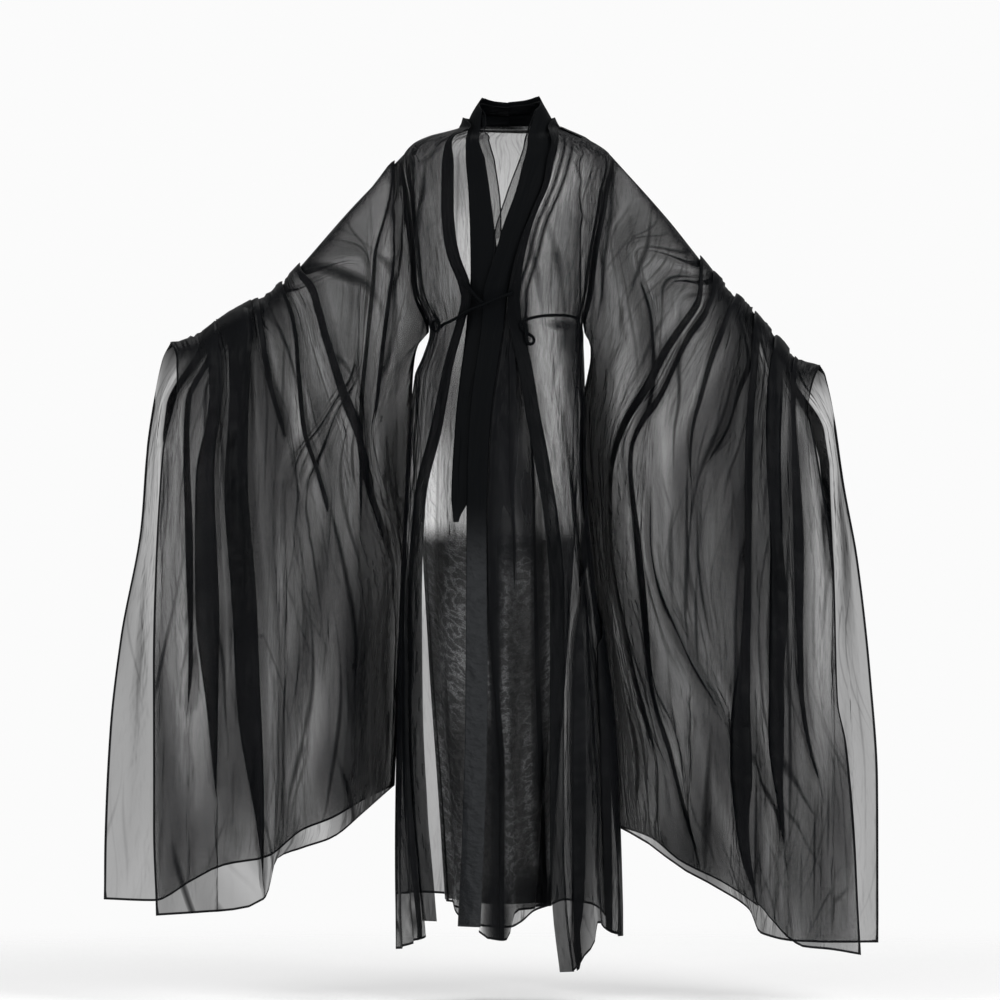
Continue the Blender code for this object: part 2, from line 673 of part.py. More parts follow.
def inner_edge(sleeve, facing):
    """(out, drop) and depth down a sleeve's body side: the armhole, then the fold under the arm."""
    side, fold = sleeve["side"], sleeve["fold"]
    rows = len(ARMHOLE_DROPS)
    turn = side_turn(OUTER_WRAP, ARMHOLE_DROPS)
    turn = side * (turn if facing < 0 else math.pi - turn)
    hole = on_wrap(OUTER_WRAP, ARMHOLE_DROPS, turn)
    out = side * hole[:, 0] + ARMHOLE_SEAM
    back = hole[:, 1].copy()
    share = (SLEEVE_ROWS[rows:] - SLEEVE_ROWS[rows - 1]) / (1 - SLEEVE_ROWS[rows - 1])
    drops = WAIST + share * (fold["drop"][-1] - WAIST)
    out[-1], back[-1] = fold["out"][0], fold["back"][0]
    out[0], back[0] = sleeve["ridge"]["out"][0], 0.0
    out = np.concatenate([out, eased(fold["drop"], fold["out"], drops)])
    back = np.concatenate([back, eased(fold["drop"], fold["back"], drops)])
    return np.stack([out, np.concatenate([ARMHOLE_DROPS, drops])], axis=-1), back


def principled(name, finish):
    """A plain material of one colour."""
    colour, roughness = finish
    material = bpy.data.materials.new(name)
    material.use_nodes = True
    shader = material.node_tree.nodes["Principled BSDF"]
    shader.inputs["Base Color"].default_value = (*colour, 1)
    shader.inputs["Roughness"].default_value = roughness
    shader.inputs["Metallic"].default_value = 0.0
    return material


def grid_faces(bm, grid, made):
    """Adds a grid's quads, sharing any point already made at the same place."""
    corners = []
    for line in grid:
        for point in line:
            key = tuple(np.round(point, 7))
            if key not in made:
                made[key] = bm.verts.new(point)
            corners.append(made[key])
    rows, columns = grid.shape[:2]
    for r in range(rows - 1):
        for c in range(columns - 1):
            a, b = r * columns + c, (r + 1) * columns + c
            quad = [corners[a], corners[b], corners[b + 1], corners[a + 1]]
            bm.faces.new(list(dict.fromkeys(quad)))


def cloth(name, grids, material, collection, wall=WALL):
    """One cut piece: its grids joined where they share points, with a Solidify wall."""
    bm = bmesh.new()
    made = {}
    for grid in grids:
        grid_faces(bm, grid, made)
    bmesh.ops.recalc_face_normals(bm, faces=bm.faces)
    mesh = bpy.data.meshes.new(name)
    bm.to_mesh(mesh)
    bm.free()
    mesh.materials.append(material)
    mesh.shade_smooth()
    piece = bpy.data.objects.new(name, mesh)
    collection.objects.link(piece)
    solid = piece.modifiers.new("wall", "SOLIDIFY")
    solid.thickness = wall
    solid.offset = 0.0


def over_rows(course):
    """Points above the outer robe's rows, where its panels are straight from one row to the next."""
    rows = np.append(ARMHOLE_DROPS, ROW_BELOW_WAIST)
    upper = np.searchsorted(rows, course["drop"]) - 1
    turn = turn_at(OUTER_WRAP, course["drop"], course["across"])
    above = lifted(OUTER_WRAP, rows[upper], turn, course["lift"])
    below = lifted(OUTER_WRAP, rows[upper + 1], turn, course["lift"])
    share = (course["drop"] - rows[upper]) / (rows[upper + 1] - rows[upper])
    return above + (below - above) * share[:, None]


def tie(name, course, material, collection):
    """A round tie lying on the outer robe."""
    points = over_rows(course)
    curve = bpy.data.curves.new(name, "CURVE")
    curve.dimensions = "3D"
    curve.bevel_depth = TIE_THICKNESS / 2
    curve.bevel_resolution = 2
    curve.use_fill_caps = True
    smooth = smooth_course(points, TIE_STEPS)
    spline = curve.splines.new("POLY")
    spline.points.add(len(smooth) - 1)
    for slot, point in zip(spline.points, smooth):
        slot.co = (*point, 1)
    curve.materials.append(material)
    collection.objects.link(bpy.data.objects.new(name, curve))


def smooth_course(points, steps):
    """Points along the smooth curve through a tie's own points."""
    ends = np.concatenate([[2 * points[0] - points[1]], points, [2 * points[-1] - points[-2]]])
    course = []
    for a, b, c, d in zip(ends, ends[1:], ends[2:], ends[3:]):
        for k in range(steps):
            t = k / steps
            bend = t * t * (a - 2.5 * b + 2 * c - d / 2) + t**3 * (3 * b - 3 * c + d - a) / 2
            course.append(b + t * (c - a) / 2 + bend)
    return np.array([*course, points[-1]])


def sleeve(name, sizes, folds, material, collection):
    """A wide sleeve: a front and a back leaf in one, over the arm and round the fold beside the body."""
    front, back = sleeve_leaf(sizes, folds, -1), sleeve_leaf(sizes, folds, 1)
    back[0] = front[0]
    below = len(ARMHOLE_DROPS) - 1
    back[below:, 0] = front[below:, 0]
    cloth(name, [front, back], material, collection)


def main():
    for piece in list(bpy.data.objects):
        bpy.data.objects.remove(piece)
    robe = bpy.data.collections.new("hanfu_robe")
    bpy.context.scene.collection.children.link(robe)
    organza = principled("black_organza", BLACK_ORGANZA)
    satin = principled("black_satin", BLACK_SATIN)
    plain = principled("black_band", BLACK_BAND)

    cloth("outer_back", [back_panel("outer_back", OUTER_WRAP, OUTER_BACK_HEM)], organza, robe)
    cloth("inner_back", [back_panel("inner_back", INNER_WRAP, INNER_BACK_HEM)], satin, robe)
    sleeve("outer_sleeve_right", RIGHT_SLEEVE, RIGHT_SLEEVE_FOLDS, organza, robe)
    sleeve("outer_sleeve_left", LEFT_SLEEVE, LEFT_SLEEVE_FOLDS, organza, robe)

    for name, side, edge, hem in (
        ("right", RIGHT, OUTER_RIGHT_EDGE, OUTER_RIGHT_HEM),
        ("left", LEFT, OUTER_LEFT_EDGE, OUTER_LEFT_HEM),
    ):
        front = "outer_front_" + name
        cloth(front, [front_panel(front, OUTER_WRAP, edge, side, hem, 0.0)], organza, robe)
        drops = front_drops(OUTER_WRAP, edge, side, hem, COLUMNS[front])[:, 0]
        band = neck_band(OUTER_WRAP, OUTER_NECK, drops, edge, side, 0.0)
        cloth("outer_band_" + name, [band], plain, robe, BAND_WALL)

    for name, side, edge, hem, lift, (collar_end, strip_end) in (
        ("right", RIGHT, INNER_RIGHT_EDGE, INNER_RIGHT_HEM, UNDER, RIGHT_ENDS),
        ("left", LEFT, INNER_LEFT_EDGE, INNER_LEFT_HEM, 0.0, LEFT_ENDS),
    ):
        front = "inner_front_" + name
        cloth(front, [front_panel(front, INNER_WRAP, edge, side, hem, lift)], organza, robe)
        drops = front_drops(INNER_WRAP, edge, side, hem, COLUMNS[front])[:, 0]
        collar = neck_band(INNER_WRAP, INNER_NECK, drops[drops < collar_end], edge, side, lift)
        cloth("inner_collar_" + name, [collar], plain, robe, BAND_WALL)
        strip = neck_strip(drops[drops < strip_end], edge, side, lift - STRIP_BEHIND)
        cloth("neck_strip_" + name, [strip], organza, robe)

    for name, course in TIES.items():
        tie(name, course, plain, robe)


main()
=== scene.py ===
"""Looks of a hanfu robe set in sheer black organza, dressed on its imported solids.

Metres, +Z up. The wearer faces -Y, so their right side is at -X. Heights are given as drops below the
origin, which lies between the shoulders, and side sizes as distances out from the middle.
"""

import logging
import math
from dataclasses import dataclass, field, replace
from enum import Enum
from functools import cached_property
from typing import Any, Protocol

import bmesh
import bpy
import numpy as np
from mathutils import Matrix, Vector


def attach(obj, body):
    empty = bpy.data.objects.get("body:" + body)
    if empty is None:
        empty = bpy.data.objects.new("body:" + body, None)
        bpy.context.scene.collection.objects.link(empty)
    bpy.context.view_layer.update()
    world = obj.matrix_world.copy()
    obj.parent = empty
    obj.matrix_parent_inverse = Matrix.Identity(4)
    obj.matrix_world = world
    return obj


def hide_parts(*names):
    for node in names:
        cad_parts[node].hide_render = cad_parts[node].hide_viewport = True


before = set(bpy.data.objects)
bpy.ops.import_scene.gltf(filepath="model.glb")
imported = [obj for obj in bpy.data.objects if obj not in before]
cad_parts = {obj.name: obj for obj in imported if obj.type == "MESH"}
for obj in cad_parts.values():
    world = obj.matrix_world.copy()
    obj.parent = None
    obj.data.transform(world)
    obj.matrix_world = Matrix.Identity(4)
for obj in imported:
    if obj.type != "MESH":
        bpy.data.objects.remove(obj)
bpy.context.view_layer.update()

LOG = logging.getLogger("hanfu_robe")
Array = np.ndarray
Colour = tuple[float, float, float]


class Side(Enum):
    """Which way out from the middle a piece lies."""

    RIGHT = -1
    LEFT = 1


class Leaf(Enum):
    """The layer of a sleeve, by the way it faces along Y."""

    FRONT = -1
    BACK = 1


def eased(xs: Array, ys: Array, x: Array | float) -> Array:
    """The monotone cubic through (xs, ys), held level beyond its ends.

    Args:
        xs: Rising places.
        ys: The value at each place.
        x: Where to read it.

    Returns:
        The value at each x.
    """
    x = np.clip(x, xs[0], xs[-1])
    step = np.diff(xs)
    slope = np.diff(ys) / step
    product = slope[:-1] * slope[1:]
    total = np.where(product > 0, slope[:-1] + slope[1:], 1.0)
    tangent = np.concatenate([slope[:1], np.where(product > 0, 2 * product / total, 0.0), slope[-1:]])
    i = np.clip(np.searchsorted(xs, x, side="right") - 1, 0, len(step) - 1)
    t = (x - xs[i]) / step[i]
    rise = step[i] * (t * (1 - t) ** 2 * tangent[i] + t * t * (t - 1) * tangent[i + 1])
    return (1 + 2 * t) * (1 - t) ** 2 * ys[i] + t * t * (3 - 2 * t) * ys[i + 1] + rise


def ease_in(t: Array | float) -> Array:
    """0 to 1 as t goes from 0 to 1, level at both ends."""
    t = np.clip(t, 0, 1)
    return t * t * (3 - 2 * t)


def unit(vectors: Array) -> Array:
    """The vectors, each made one long."""
    return vectors / np.maximum(np.linalg.norm(vectors, axis=-1, keepdims=True), 1e-12)


def run_along(points: Array, axis: int) -> Array:
    """How far each point lies from the first one along its row or column."""
    steps = np.linalg.norm(np.diff(points, axis=axis), axis=-1)
    return np.insert(np.cumsum(steps, axis=axis), 0, 0.0, axis=axis)


def wander(seed: int, across: Array, along: Array) -> Array:
    """Smooth noise from -1 to 1 with features one unit apart.

    Args:
        seed: Which noise it is.
        across: Place one way, in features.
        along: Place the other way, in features.

    Returns:
        The noise at each place.
    """
    size = 64
    lattice = np.random.default_rng(seed).uniform(-1, 1, (size, size))
    i, j = np.floor(across).astype(int), np.floor(along).astype(int)
    s, t = ease_in(across - i), ease_in(along - j)
    i, j, k, m = i % size, j % size, (i + 1) % size, (j + 1) % size
    return (1 - s) * ((1 - t) * lattice[i, j] + t * lattice[i, m]) + s * (
        (1 - t) * lattice[k, j] + t * lattice[k, m]
    )


class Table:
    """Sizes under named columns, a row for each section, read as smooth curves down the first column."""

    def __init__(self, columns: str, *rows: tuple[float, ...]) -> None:
        """Keeps the rows under the columns' names, which have spaces between them."""
        self.columns = dict(zip(columns.split(), np.array(rows, float).T))
        self.first = next(iter(self.columns.values()))

    def __getitem__(self, name: str) -> Array:
        """The values under one name."""
        return self.columns[name]

    def at(self, name: str, where: Array | float) -> Array:
        """The column's value at places along the first one."""
        return eased(self.first, self.columns[name], where)

    def rows(self) -> Array:
        """The rows, as they were given."""
        return np.stack(list(self.columns.values()), axis=1)


WAIST = 0.384  # drop of the waist and of the armpit
ARMHOLE_TOP = 0.0475
SEAM = 0.0002  # from a seam line to each cut edge beside it
SIDE_SEAM = 0.0003  # the same at the sides and armholes
TUCKED, TUCKED_BEHIND = 0.0035, 0.0012  # how far a front reaches under its band, and lies behind it
TUCK_SHARE = 0.06  # the share of a front over which it comes forward from there
ARMHOLE_SEAM = 0.0004  # how far outside the body's armhole edge a sleeve starts
ARM_REACH = 0.042  # from the top of the arm to where a sleeve hangs free of it
SWING = 0.030  # how far a sleeve's leaf swings clear of the arm at its hem
USUAL_HEM = 1.49  # the drop at which a hem's place across is first read
FOLDS_GROW_OVER = 0.9  # below the waist, the length over which a skirt's folds reach their depth
EDGE_HELD = 0.12  # the share of a panel beside each seam that carries no folds
UNEVEN, UNEVEN_TURNS = 0.35, 1.7  # how much neighbouring folds differ, and how often that comes round
SLEEVE_JOINED = 0.24  # the share of a sleeve over which its leaves part from the fold by the body
FOLD_EASE = 0.04  # the share down a sleeve over which its armhole edge turns into the fold under the arm
BODY_EDGE = 0.08  # the share of a sleeve over which it settles from its body edge onto its net
LEAVES_PART = 0.12  # the share down a sleeve over which the columns of its two leaves go their own ways
FOLD_COMES, FOLD_GOES = 0.10, 0.30  # the shares down over which a sleeve's fold comes in and dies out
NECK_EASE = 0.080  # below the neckline, the length over which a band reaches its width and its seam
NECK_SEAM_WIDER = 5  # how many times SEAM is added beside it at the neck
BAND_STEPS, BAND_CROWD = 90, 1.7  # places read down a band, and how they crowd towards the neck
STRIP_UNDER = 0.006  # how far a sheer strip reaches under its collar
STRIP_STAND = (0.45, 0.85)  # behind the neck, the shares of the collar's height between which it runs
STRIP_BEHIND = 0.0033  # how far it lies inside the collar
INNER_LIFTS = {Side.RIGHT: -0.006, Side.LEFT: 0.0}  # the left inner front crosses over the right one
COLLAR_ENDS = {Side.RIGHT: 0.745, Side.LEFT: 1.51}
STRIP_ENDS = {Side.RIGHT: 0.21, Side.LEFT: 0.26}

# Rings of each robe round the body: how far it reaches to the right, left, front and back.
OUTER_WRAP = Table(
    "drop right left front back",
    (-0.0260, 0.0835, 0.087, 0.058, 0.080),
    (-0.0040, 0.0930, 0.100, 0.066, 0.086),
    (0.0020, 0.1120, 0.112, 0.070, 0.088),
    (0.0120, 0.1500, 0.136, 0.076, 0.090),
    (0.0280, 0.1820, 0.170, 0.084, 0.094),
    (0.0475, 0.1980, 0.194, 0.093, 0.098),
    (0.0850, 0.2140, 0.207, 0.106, 0.106),
    (0.1400, 0.2170, 0.207, 0.117, 0.112),
    (0.2000, 0.2130, 0.199, 0.122, 0.114),
    (0.3000, 0.1920, 0.173, 0.116, 0.106),
    (0.3840, 0.1480, 0.140, 0.099, 0.093),
    (0.4300, 0.1610, 0.141, 0.102, 0.096),
    (0.4700, 0.1770, 0.142, 0.107, 0.100),
    (0.6000, 0.1900, 0.143, 0.120, 0.115),
    (0.7500, 0.1960, 0.150, 0.134, 0.130),
    (0.9500, 0.2040, 0.178, 0.150, 0.145),
    (1.1000, 0.2070, 0.198, 0.158, 0.152),
    (1.3000, 0.2100, 0.213, 0.168, 0.160),
    (1.6000, 0.2120, 0.220, 0.176, 0.168),
)
INNER_WRAP = Table(
    "drop right left front back",
    (-0.0700, 0.0505, 0.0565, 0.038, 0.056),
    (-0.0450, 0.0665, 0.0690, 0.046, 0.063),
    (-0.0250, 0.0775, 0.0800, 0.052, 0.069),
    (-0.0100, 0.0840, 0.0880, 0.057, 0.073),
    (0.0060, 0.1000, 0.1000, 0.061, 0.077),
    (0.0180, 0.1420, 0.1300, 0.068, 0.080),
    (0.0340, 0.1760, 0.1640, 0.075, 0.085),
    (0.0535, 0.1930, 0.1880, 0.085, 0.090),
    (0.0850, 0.2060, 0.1990, 0.097, 0.098),
    (0.1400, 0.2090, 0.1990, 0.108, 0.104),
    (0.2000, 0.2050, 0.1910, 0.113, 0.106),
    (0.3000, 0.1840, 0.1650, 0.107, 0.097),
    (0.3840, 0.1400, 0.1320, 0.089, 0.084),
    (0.4700, 0.1560, 0.1330, 0.092, 0.088),
    (0.6000, 0.1660, 0.1330, 0.096, 0.092),
    (0.7500, 0.1630, 0.1280, 0.098, 0.094),
    (1.0000, 0.1500, 0.1120, 0.096, 0.092),
    (1.3000, 0.1280, 0.0900, 0.090, 0.086),
    (1.6000, 0.1100, 0.0720, 0.086, 0.080),
)

# Where each front's edge runs: its distance out from the middle, below 0 once it has crossed over. Beside
# it the width of its band or collar, how far the free edge stands above the seam, whether it stands there
# (0) or lies flat (1), and how much of the sheer strip shows.
OUTER_RIGHT_EDGE = Table(
    "drop out width rise lay",
    (-0.0040, 0.0885, 0.016, 0.016, 0.00),
    (0.0120, 0.1080, 0.017, 0.015, 0.15),
    (0.0285, 0.1190, 0.018, 0.011, 0.52),
    (0.0700, 0.1250, 0.020, 0.001, 1.00),
    (0.1480, 0.1265, 0.021, 0.000, 1.00),
    (0.2090, 0.1216, 0.021, 0.000, 1.00),
    (0.2450, 0.1140, 0.021, 0.000, 1.00),
    (0.2926, 0.0950, 0.020, 0.000, 1.00),
    (0.3230, 0.0880, 0.016, 0.000, 1.00),
    (0.3610, 0.0970, 0.014, 0.000, 1.00),
    (0.4410, 0.1197, 0.015, 0.000, 1.00),
    (0.5660, 0.1460, 0.019, 0.000, 1.00),
    (0.7030, 0.1780, 0.020, 0.000, 1.00),
    (0.8930, 0.1890, 0.023, 0.000, 1.00),
    (1.0830, 0.1880, 0.024, 0.000, 1.00),
    (1.2730, 0.1800, 0.024, 0.000, 1.00),
    (1.4630, 0.1640, 0.024, 0.000, 1.00),
    (1.6000, 0.1530, 0.024, 0.000, 1.00),
)
OUTER_LEFT_EDGE = Table(
    "drop out width rise lay",
    (-0.0040, 0.0965, 0.014, 0.016, 0.00),
    (0.0190, 0.0960, 0.013, 0.013, 0.29),
    (0.0610, 0.0874, 0.010, 0.002, 1.00),
    (0.1026, 0.0792, 0.009, 0.000, 1.00),
    (0.1650, 0.0532, 0.008, 0.000, 1.00),
    (0.2090, 0.0400, 0.012, 0.000, 1.00),
    (0.2736, 0.0266, 0.016, 0.000, 1.00),
    (0.3230, 0.0220, 0.020, 0.000, 1.00),
    (0.3686, 0.0266, 0.022, 0.000, 1.00),
    (0.4484, 0.0456, 0.024, 0.000, 1.00),
    (0.5415, 0.0608, 0.024, 0.000, 1.00),
    (0.6270, 0.0773, 0.024, 0.000, 1.00),
    (0.7690, 0.0988, 0.024, 0.000, 1.00),
    (0.8850, 0.1064, 0.024, 0.000, 1.00),
    (1.1000, 0.1060, 0.024, 0.000, 1.00),
    (1.3500, 0.1060, 0.024, 0.000, 1.00),
    (1.4700, 0.1110, 0.024, 0.000, 1.00),
    (1.6000, 0.1260, 0.024, 0.000, 1.00),
)
INNER_RIGHT_EDGE = Table(
    "drop out width rise lay shown",
    (-0.0100, 0.0785, 0.0250, 0.030, 1.0, 0.000),
    (0.0190, 0.0817, 0.0250, 0.006, 1.0, 0.020),
    (0.0570, 0.0810, 0.0373, -0.002, 1.0, 0.018),
    (0.1235, 0.0760, 0.0418, 0.000, 1.0, 0.018),
    (0.2014, 0.0730, 0.0483, 0.000, 1.0, 0.012),
    (0.2790, 0.0720, 0.0570, 0.000, 1.0, 0.000),
    (0.3610, 0.0800, 0.0590, 0.000, 1.0, 0.000),
    (0.5700, 0.1030, 0.0330, 0.000, 1.0, 0.000),
    (0.7000, 0.1100, 0.0340, 0.000, 1.0, 0.000),
    (0.7450, 0.1060, 0.0100, 0.000, 1.0, 0.000),
    (1.6000, 0.0950, 0.0100, 0.000, 1.0, 0.000),
)
INNER_LEFT_EDGE = Table(
    "drop out width rise lay shown",
    (-0.0100, 0.0840, 0.0280, 0.028, 1.0, 0.001),
    (0.0290, 0.0871, 0.0495, 0.006, 1.0, 0.006),
    (0.0765, 0.0768, 0.0497, 0.004, 1.0, 0.010),
    (0.1230, 0.0608, 0.0467, 0.000, 1.0, 0.016),
    (0.1880, 0.0336, 0.0431, 0.000, 1.0, 0.014),
    (0.2527, 0.0170, 0.0455, 0.000, 1.0, 0.001),
    (0.3050, 0.0011, 0.0467, 0.000, 1.0, 0.000),
    (0.3610, -0.0060, 0.0430, 0.000, 1.0, 0.000),
    (0.5700, -0.0340, 0.0400, 0.000, 1.0, 0.000),
    (0.7410, -0.0400, 0.0380, 0.000, 1.0, 0.000),
    (1.0830, -0.0380, 0.0420, 0.000, 1.0, 0.000),
    (1.6000, -0.0550, 0.0430, 0.000, 1.0, 0.000),
)
# How far round a front or the back comes beside the armhole, in degrees from straight ahead or behind.
ARMHOLE_TURN = Table(
    "drop turn",
    (0.0475, 90.0), (0.06, 80.0), (0.085, 70.0), (0.14, 62.0), (0.22, 60.0), (0.3, 66.0), (0.345, 76.0),
    (WAIST, 90.0),
)

# Hems: the drop of each lower edge, by its distance out from the middle.
OUTER_BACK_HEM = Table(
    "across drop",
    (-0.222, 1.452), (-0.115, 1.459), (-0.1, 1.495), (-0.072, 1.514), (-0.04, 1.524), (0.004, 1.524),
    (0.027, 1.514), (0.048, 1.495), (0.07, 1.486), (0.12, 1.47), (0.156, 1.478), (0.184, 1.505),
    (0.2, 1.524), (0.217, 1.531),
)
OUTER_RIGHT_HEM = Table(
    "across drop", (-0.212, 1.556), (-0.177, 1.537), (-0.160, 1.528), (-0.150, 1.508), (-0.140, 1.496)
)
OUTER_LEFT_HEM = Table(
    "across drop",
    (0.1, 1.59), (0.118, 1.588), (0.131, 1.57), (0.154, 1.541), (0.162, 1.5), (0.184, 1.505),
    (0.2, 1.524), (0.217, 1.531),
)
INNER_LEFT_HEM = Table(
    "across drop", (-0.053, 1.520), (-0.035, 1.533), (-0.005, 1.535), (0.020, 1.480), (0.072, 1.472)
)
INNER_RIGHT_HEM = Table("across drop", (-0.115, 1.465), (-0.095, 1.476))
INNER_BACK_HEM = Table("across drop", (-0.115, 1.462), (-0.02, 1.476), (0.072, 1.470))

# Standing part of each neck band, from the centre back round to the side: the drops of its edges.
OUTER_NECK = Table(
    "turn low high",
    (179.98, -0.0052, -0.022), (150.0, -0.0052, -0.022), (120.0, -0.0052, -0.023),
    (95.0, -0.0052, -0.024),
)
INNER_NECK = Table(
    "turn low high",
    (181.2, -0.0112, -0.056), (150.0, -0.0112, -0.059), (120.0, -0.0112, -0.064),
    (95.0, -0.0112, -0.065),
)


@dataclass(frozen=True)
class SleeveSizes:
    """Outlines of a wide sleeve. share runs from the armhole to the cuff, and the ridge lies on the arm."""

    side: Side
    ridge: Table
    fold: Table
    front_cuff: Table
    back_cuff: Table
    front_hem: Table
    back_hem: Table


RIGHT_SLEEVE = SleeveSizes(
    side=Side.RIGHT,
    ridge=Table(
        "share out drop back",
        (0.00, 0.1995, 0.0475, 0.000),
        (0.22, 0.2980, 0.1490, 0.000),
        (0.40, 0.4010, 0.2670, -0.006),
        (0.50, 0.4390, 0.3080, -0.012),
        (0.60, 0.4810, 0.3310, -0.020),
        (0.70, 0.5210, 0.3515, -0.028),
        (0.79, 0.5550, 0.3760, -0.036),
        (0.88, 0.5910, 0.3990, -0.044),
        (1.00, 0.6385, 0.4050, -0.052),
    ),
    fold=Table(
        "drop out back",
        (WAIST, 0.15, 0.0), (0.405, 0.169, 0.006), (0.43, 0.1765, 0.014), (0.47, 0.181, 0.03),
        (0.6, 0.186, 0.072), (0.8, 0.196, 0.1), (1.0, 0.206, 0.118), (1.25, 0.217, 0.128),
    ),
    front_cuff=Table(
        "drop out",
        (0.405, 0.6385), (0.433, 0.626), (0.49, 0.625), (0.532, 0.6346), (0.602, 0.6517),
        (0.665, 0.6574), (0.817, 0.665), (1.0165, 0.669), (1.319, 0.669), (1.486, 0.663),
    ),
    back_cuff=Table(
        "drop out",
        (0.405, 0.6385), (0.4328, 0.6547), (0.4967, 0.6686), (0.6132, 0.686), (0.752, 0.697),
        (0.967, 0.737), (1.142, 0.757), (1.353, 0.767), (1.463, 0.769),
    ),
    front_hem=Table(
        "out drop",
        (0.217, 1.25), (0.275, 1.298), (0.334, 1.343), (0.391, 1.362), (0.436, 1.38), (0.456, 1.452),
        (0.498, 1.474), (0.56, 1.48), (0.663, 1.486),
    ),
    back_hem=Table(
        "out drop",
        (0.217, 1.25), (0.275, 1.277), (0.334, 1.311), (0.391, 1.334), (0.462, 1.387), (0.545, 1.402),
        (0.602, 1.431), (0.671, 1.467), (0.766, 1.463),
    ),
)
LEFT_SLEEVE = SleeveSizes(
    side=Side.LEFT,
    ridge=Table(
        "share out drop back",
        (0.00, 0.1955, 0.0475, 0.000),
        (0.25, 0.3040, 0.1690, 0.000),
        (0.40, 0.3910, 0.2790, -0.006),
        (0.50, 0.4160, 0.3080, -0.012),
        (0.62, 0.4655, 0.3500, -0.022),
        (0.74, 0.5110, 0.4070, -0.032),
        (0.87, 0.5510, 0.4465, -0.042),
        (1.00, 0.5910, 0.4480, -0.052),
    ),
    fold=Table(
        "drop out back",
        (WAIST, 0.145, 0.0), (0.405, 0.157, 0.01), (0.43, 0.1575, 0.022), (0.47, 0.151, 0.05),
        (0.52, 0.141, 0.076), (0.6, 0.137, 0.094), (0.7, 0.142, 0.108), (0.9, 0.162, 0.128),
        (1.1, 0.186, 0.138), (1.33, 0.21, 0.142),
    ),
    front_cuff=Table(
        "drop out",
        (0.448, 0.591), (0.477, 0.5765), (0.532, 0.5654), (0.6, 0.579), (0.703, 0.597), (0.815, 0.614),
        (1.083, 0.623), (1.163, 0.638), (1.351, 0.6536), (1.56, 0.665),
    ),
    back_cuff=Table(
        "drop out",
        (0.448, 0.591), (0.4575, 0.599), (0.552, 0.619), (0.661, 0.6346), (0.815, 0.664), (1.045, 0.69),
        (1.235, 0.703), (1.545, 0.705),
    ),
    front_hem=Table(
        "out drop",
        (0.21, 1.338), (0.27, 1.352), (0.327, 1.393), (0.403, 1.429), (0.473, 1.474), (0.498, 1.499),
        (0.528, 1.531), (0.56, 1.5485), (0.608, 1.552), (0.665, 1.56),
    ),
    back_hem=Table(
        "out drop",
        (0.21, 1.338), (0.27, 1.37), (0.327, 1.412), (0.403, 1.453), (0.458, 1.49), (0.479, 1.535),
        (0.56, 1.5485), (0.6, 1.548), (0.699, 1.545),
    ),
)

# Courses of the ties over the outer robe, and how far outside it they lie.
TIES = {
    "front_tie_right": Table(
        "across drop lift",
        (-0.08, 0.295, 0.0032), (-0.07, 0.306, 0.0034), (-0.059, 0.319, 0.0034),
        (-0.045, 0.332, 0.0032),
    ),
    "front_tie_left": Table(
        "across drop lift",
        (0.008, 0.312, 0.0032), (-0.015, 0.32, 0.006), (-0.05, 0.3345, 0.0074),
        (-0.0684, 0.342, 0.0045), (-0.0874, 0.3534, 0.0036), (-0.108, 0.365, 0.0038),
        (-0.118, 0.369, 0.0038), (-0.1235, 0.3735, 0.004),
    ),
    "side_tie_left": Table(
        "across drop lift",
        (0.128, 0.358, 0.003), (0.114, 0.354, 0.003), (0.085, 0.353, 0.0036), (0.055, 0.356, 0.0038),
        (0.03, 0.364, 0.0045), (0.024, 0.374, 0.005), (0.033, 0.386, 0.005), (0.046, 0.396, 0.005),
        (0.047, 0.406, 0.005), (0.039, 0.409, 0.0055), (0.034, 0.399, 0.0075), (0.033, 0.382, 0.0095),
        (0.03, 0.366, 0.009),
    ),
    "side_tie_right": Table(
        "across drop lift",
        (-0.124, 0.377, 0.0029), (-0.131, 0.365, 0.0029), (-0.138, 0.364, 0.003),
        (-0.141, 0.371, 0.0032), (-0.137, 0.381, 0.004), (-0.13, 0.383, 0.0056),
        (-0.124, 0.374, 0.0078), (-0.128, 0.36, 0.0074), (-0.136, 0.35, 0.006),
    ),
}


# Sleeve folds: where each starts on the ridge and ends at the hem, as shares, its half width and its depth.
RIGHT_SLEEVE_FOLDS = Table(
    "top bottom width depth start end",
    (0.38, -0.16, 0.045, 0.011, 0.06, 0.6),
    (0.42, 0.10, 0.045, 0.012, 0.02, 0.9),
    (0.48, 0.26, 0.045, 0.012, 0.02, 1.0),
    (0.55, 0.40, 0.045, 0.014, 0.01, 1.2),
    (0.64, 0.53, 0.050, 0.022, 0.01, 1.4),
    (0.76, 0.71, 0.045, 0.018, 0.01, 1.3),
    (0.88, 0.87, 0.045, 0.012, 0.02, 1.0),
)
LEFT_SLEEVE_FOLDS = Table(
    "top bottom width depth start end",
    (0.38, -0.14, 0.045, 0.011, 0.06, 0.6),
    (0.42, 0.08, 0.045, 0.012, 0.02, 0.9),
    (0.47, 0.22, 0.045, 0.012, 0.02, 1.0),
    (0.54, 0.36, 0.045, 0.013, 0.01, 1.2),
    (0.64, 0.54, 0.050, 0.022, 0.01, 1.4),
    (0.76, 0.72, 0.045, 0.018, 0.01, 1.3),
    (0.88, 0.87, 0.045, 0.012, 0.02, 1.0),
)

# Folds of each skirt: how many across the piece, how deep at the hem, and where the first one stands.
SKIRT_FOLDS = {
    "outer_back": (5.0, 0.016, 0.3),
    "outer_front_right": (2.5, 0.006, 0.0),
    "outer_front_left": (2.5, 0.010, 0.5),
    "inner_back": (4.0, 0.009, 0.2),
    "inner_front_right": (1.5, 0.005, 0.0),
    "inner_front_left": (3.5, 0.008, 0.4),
}


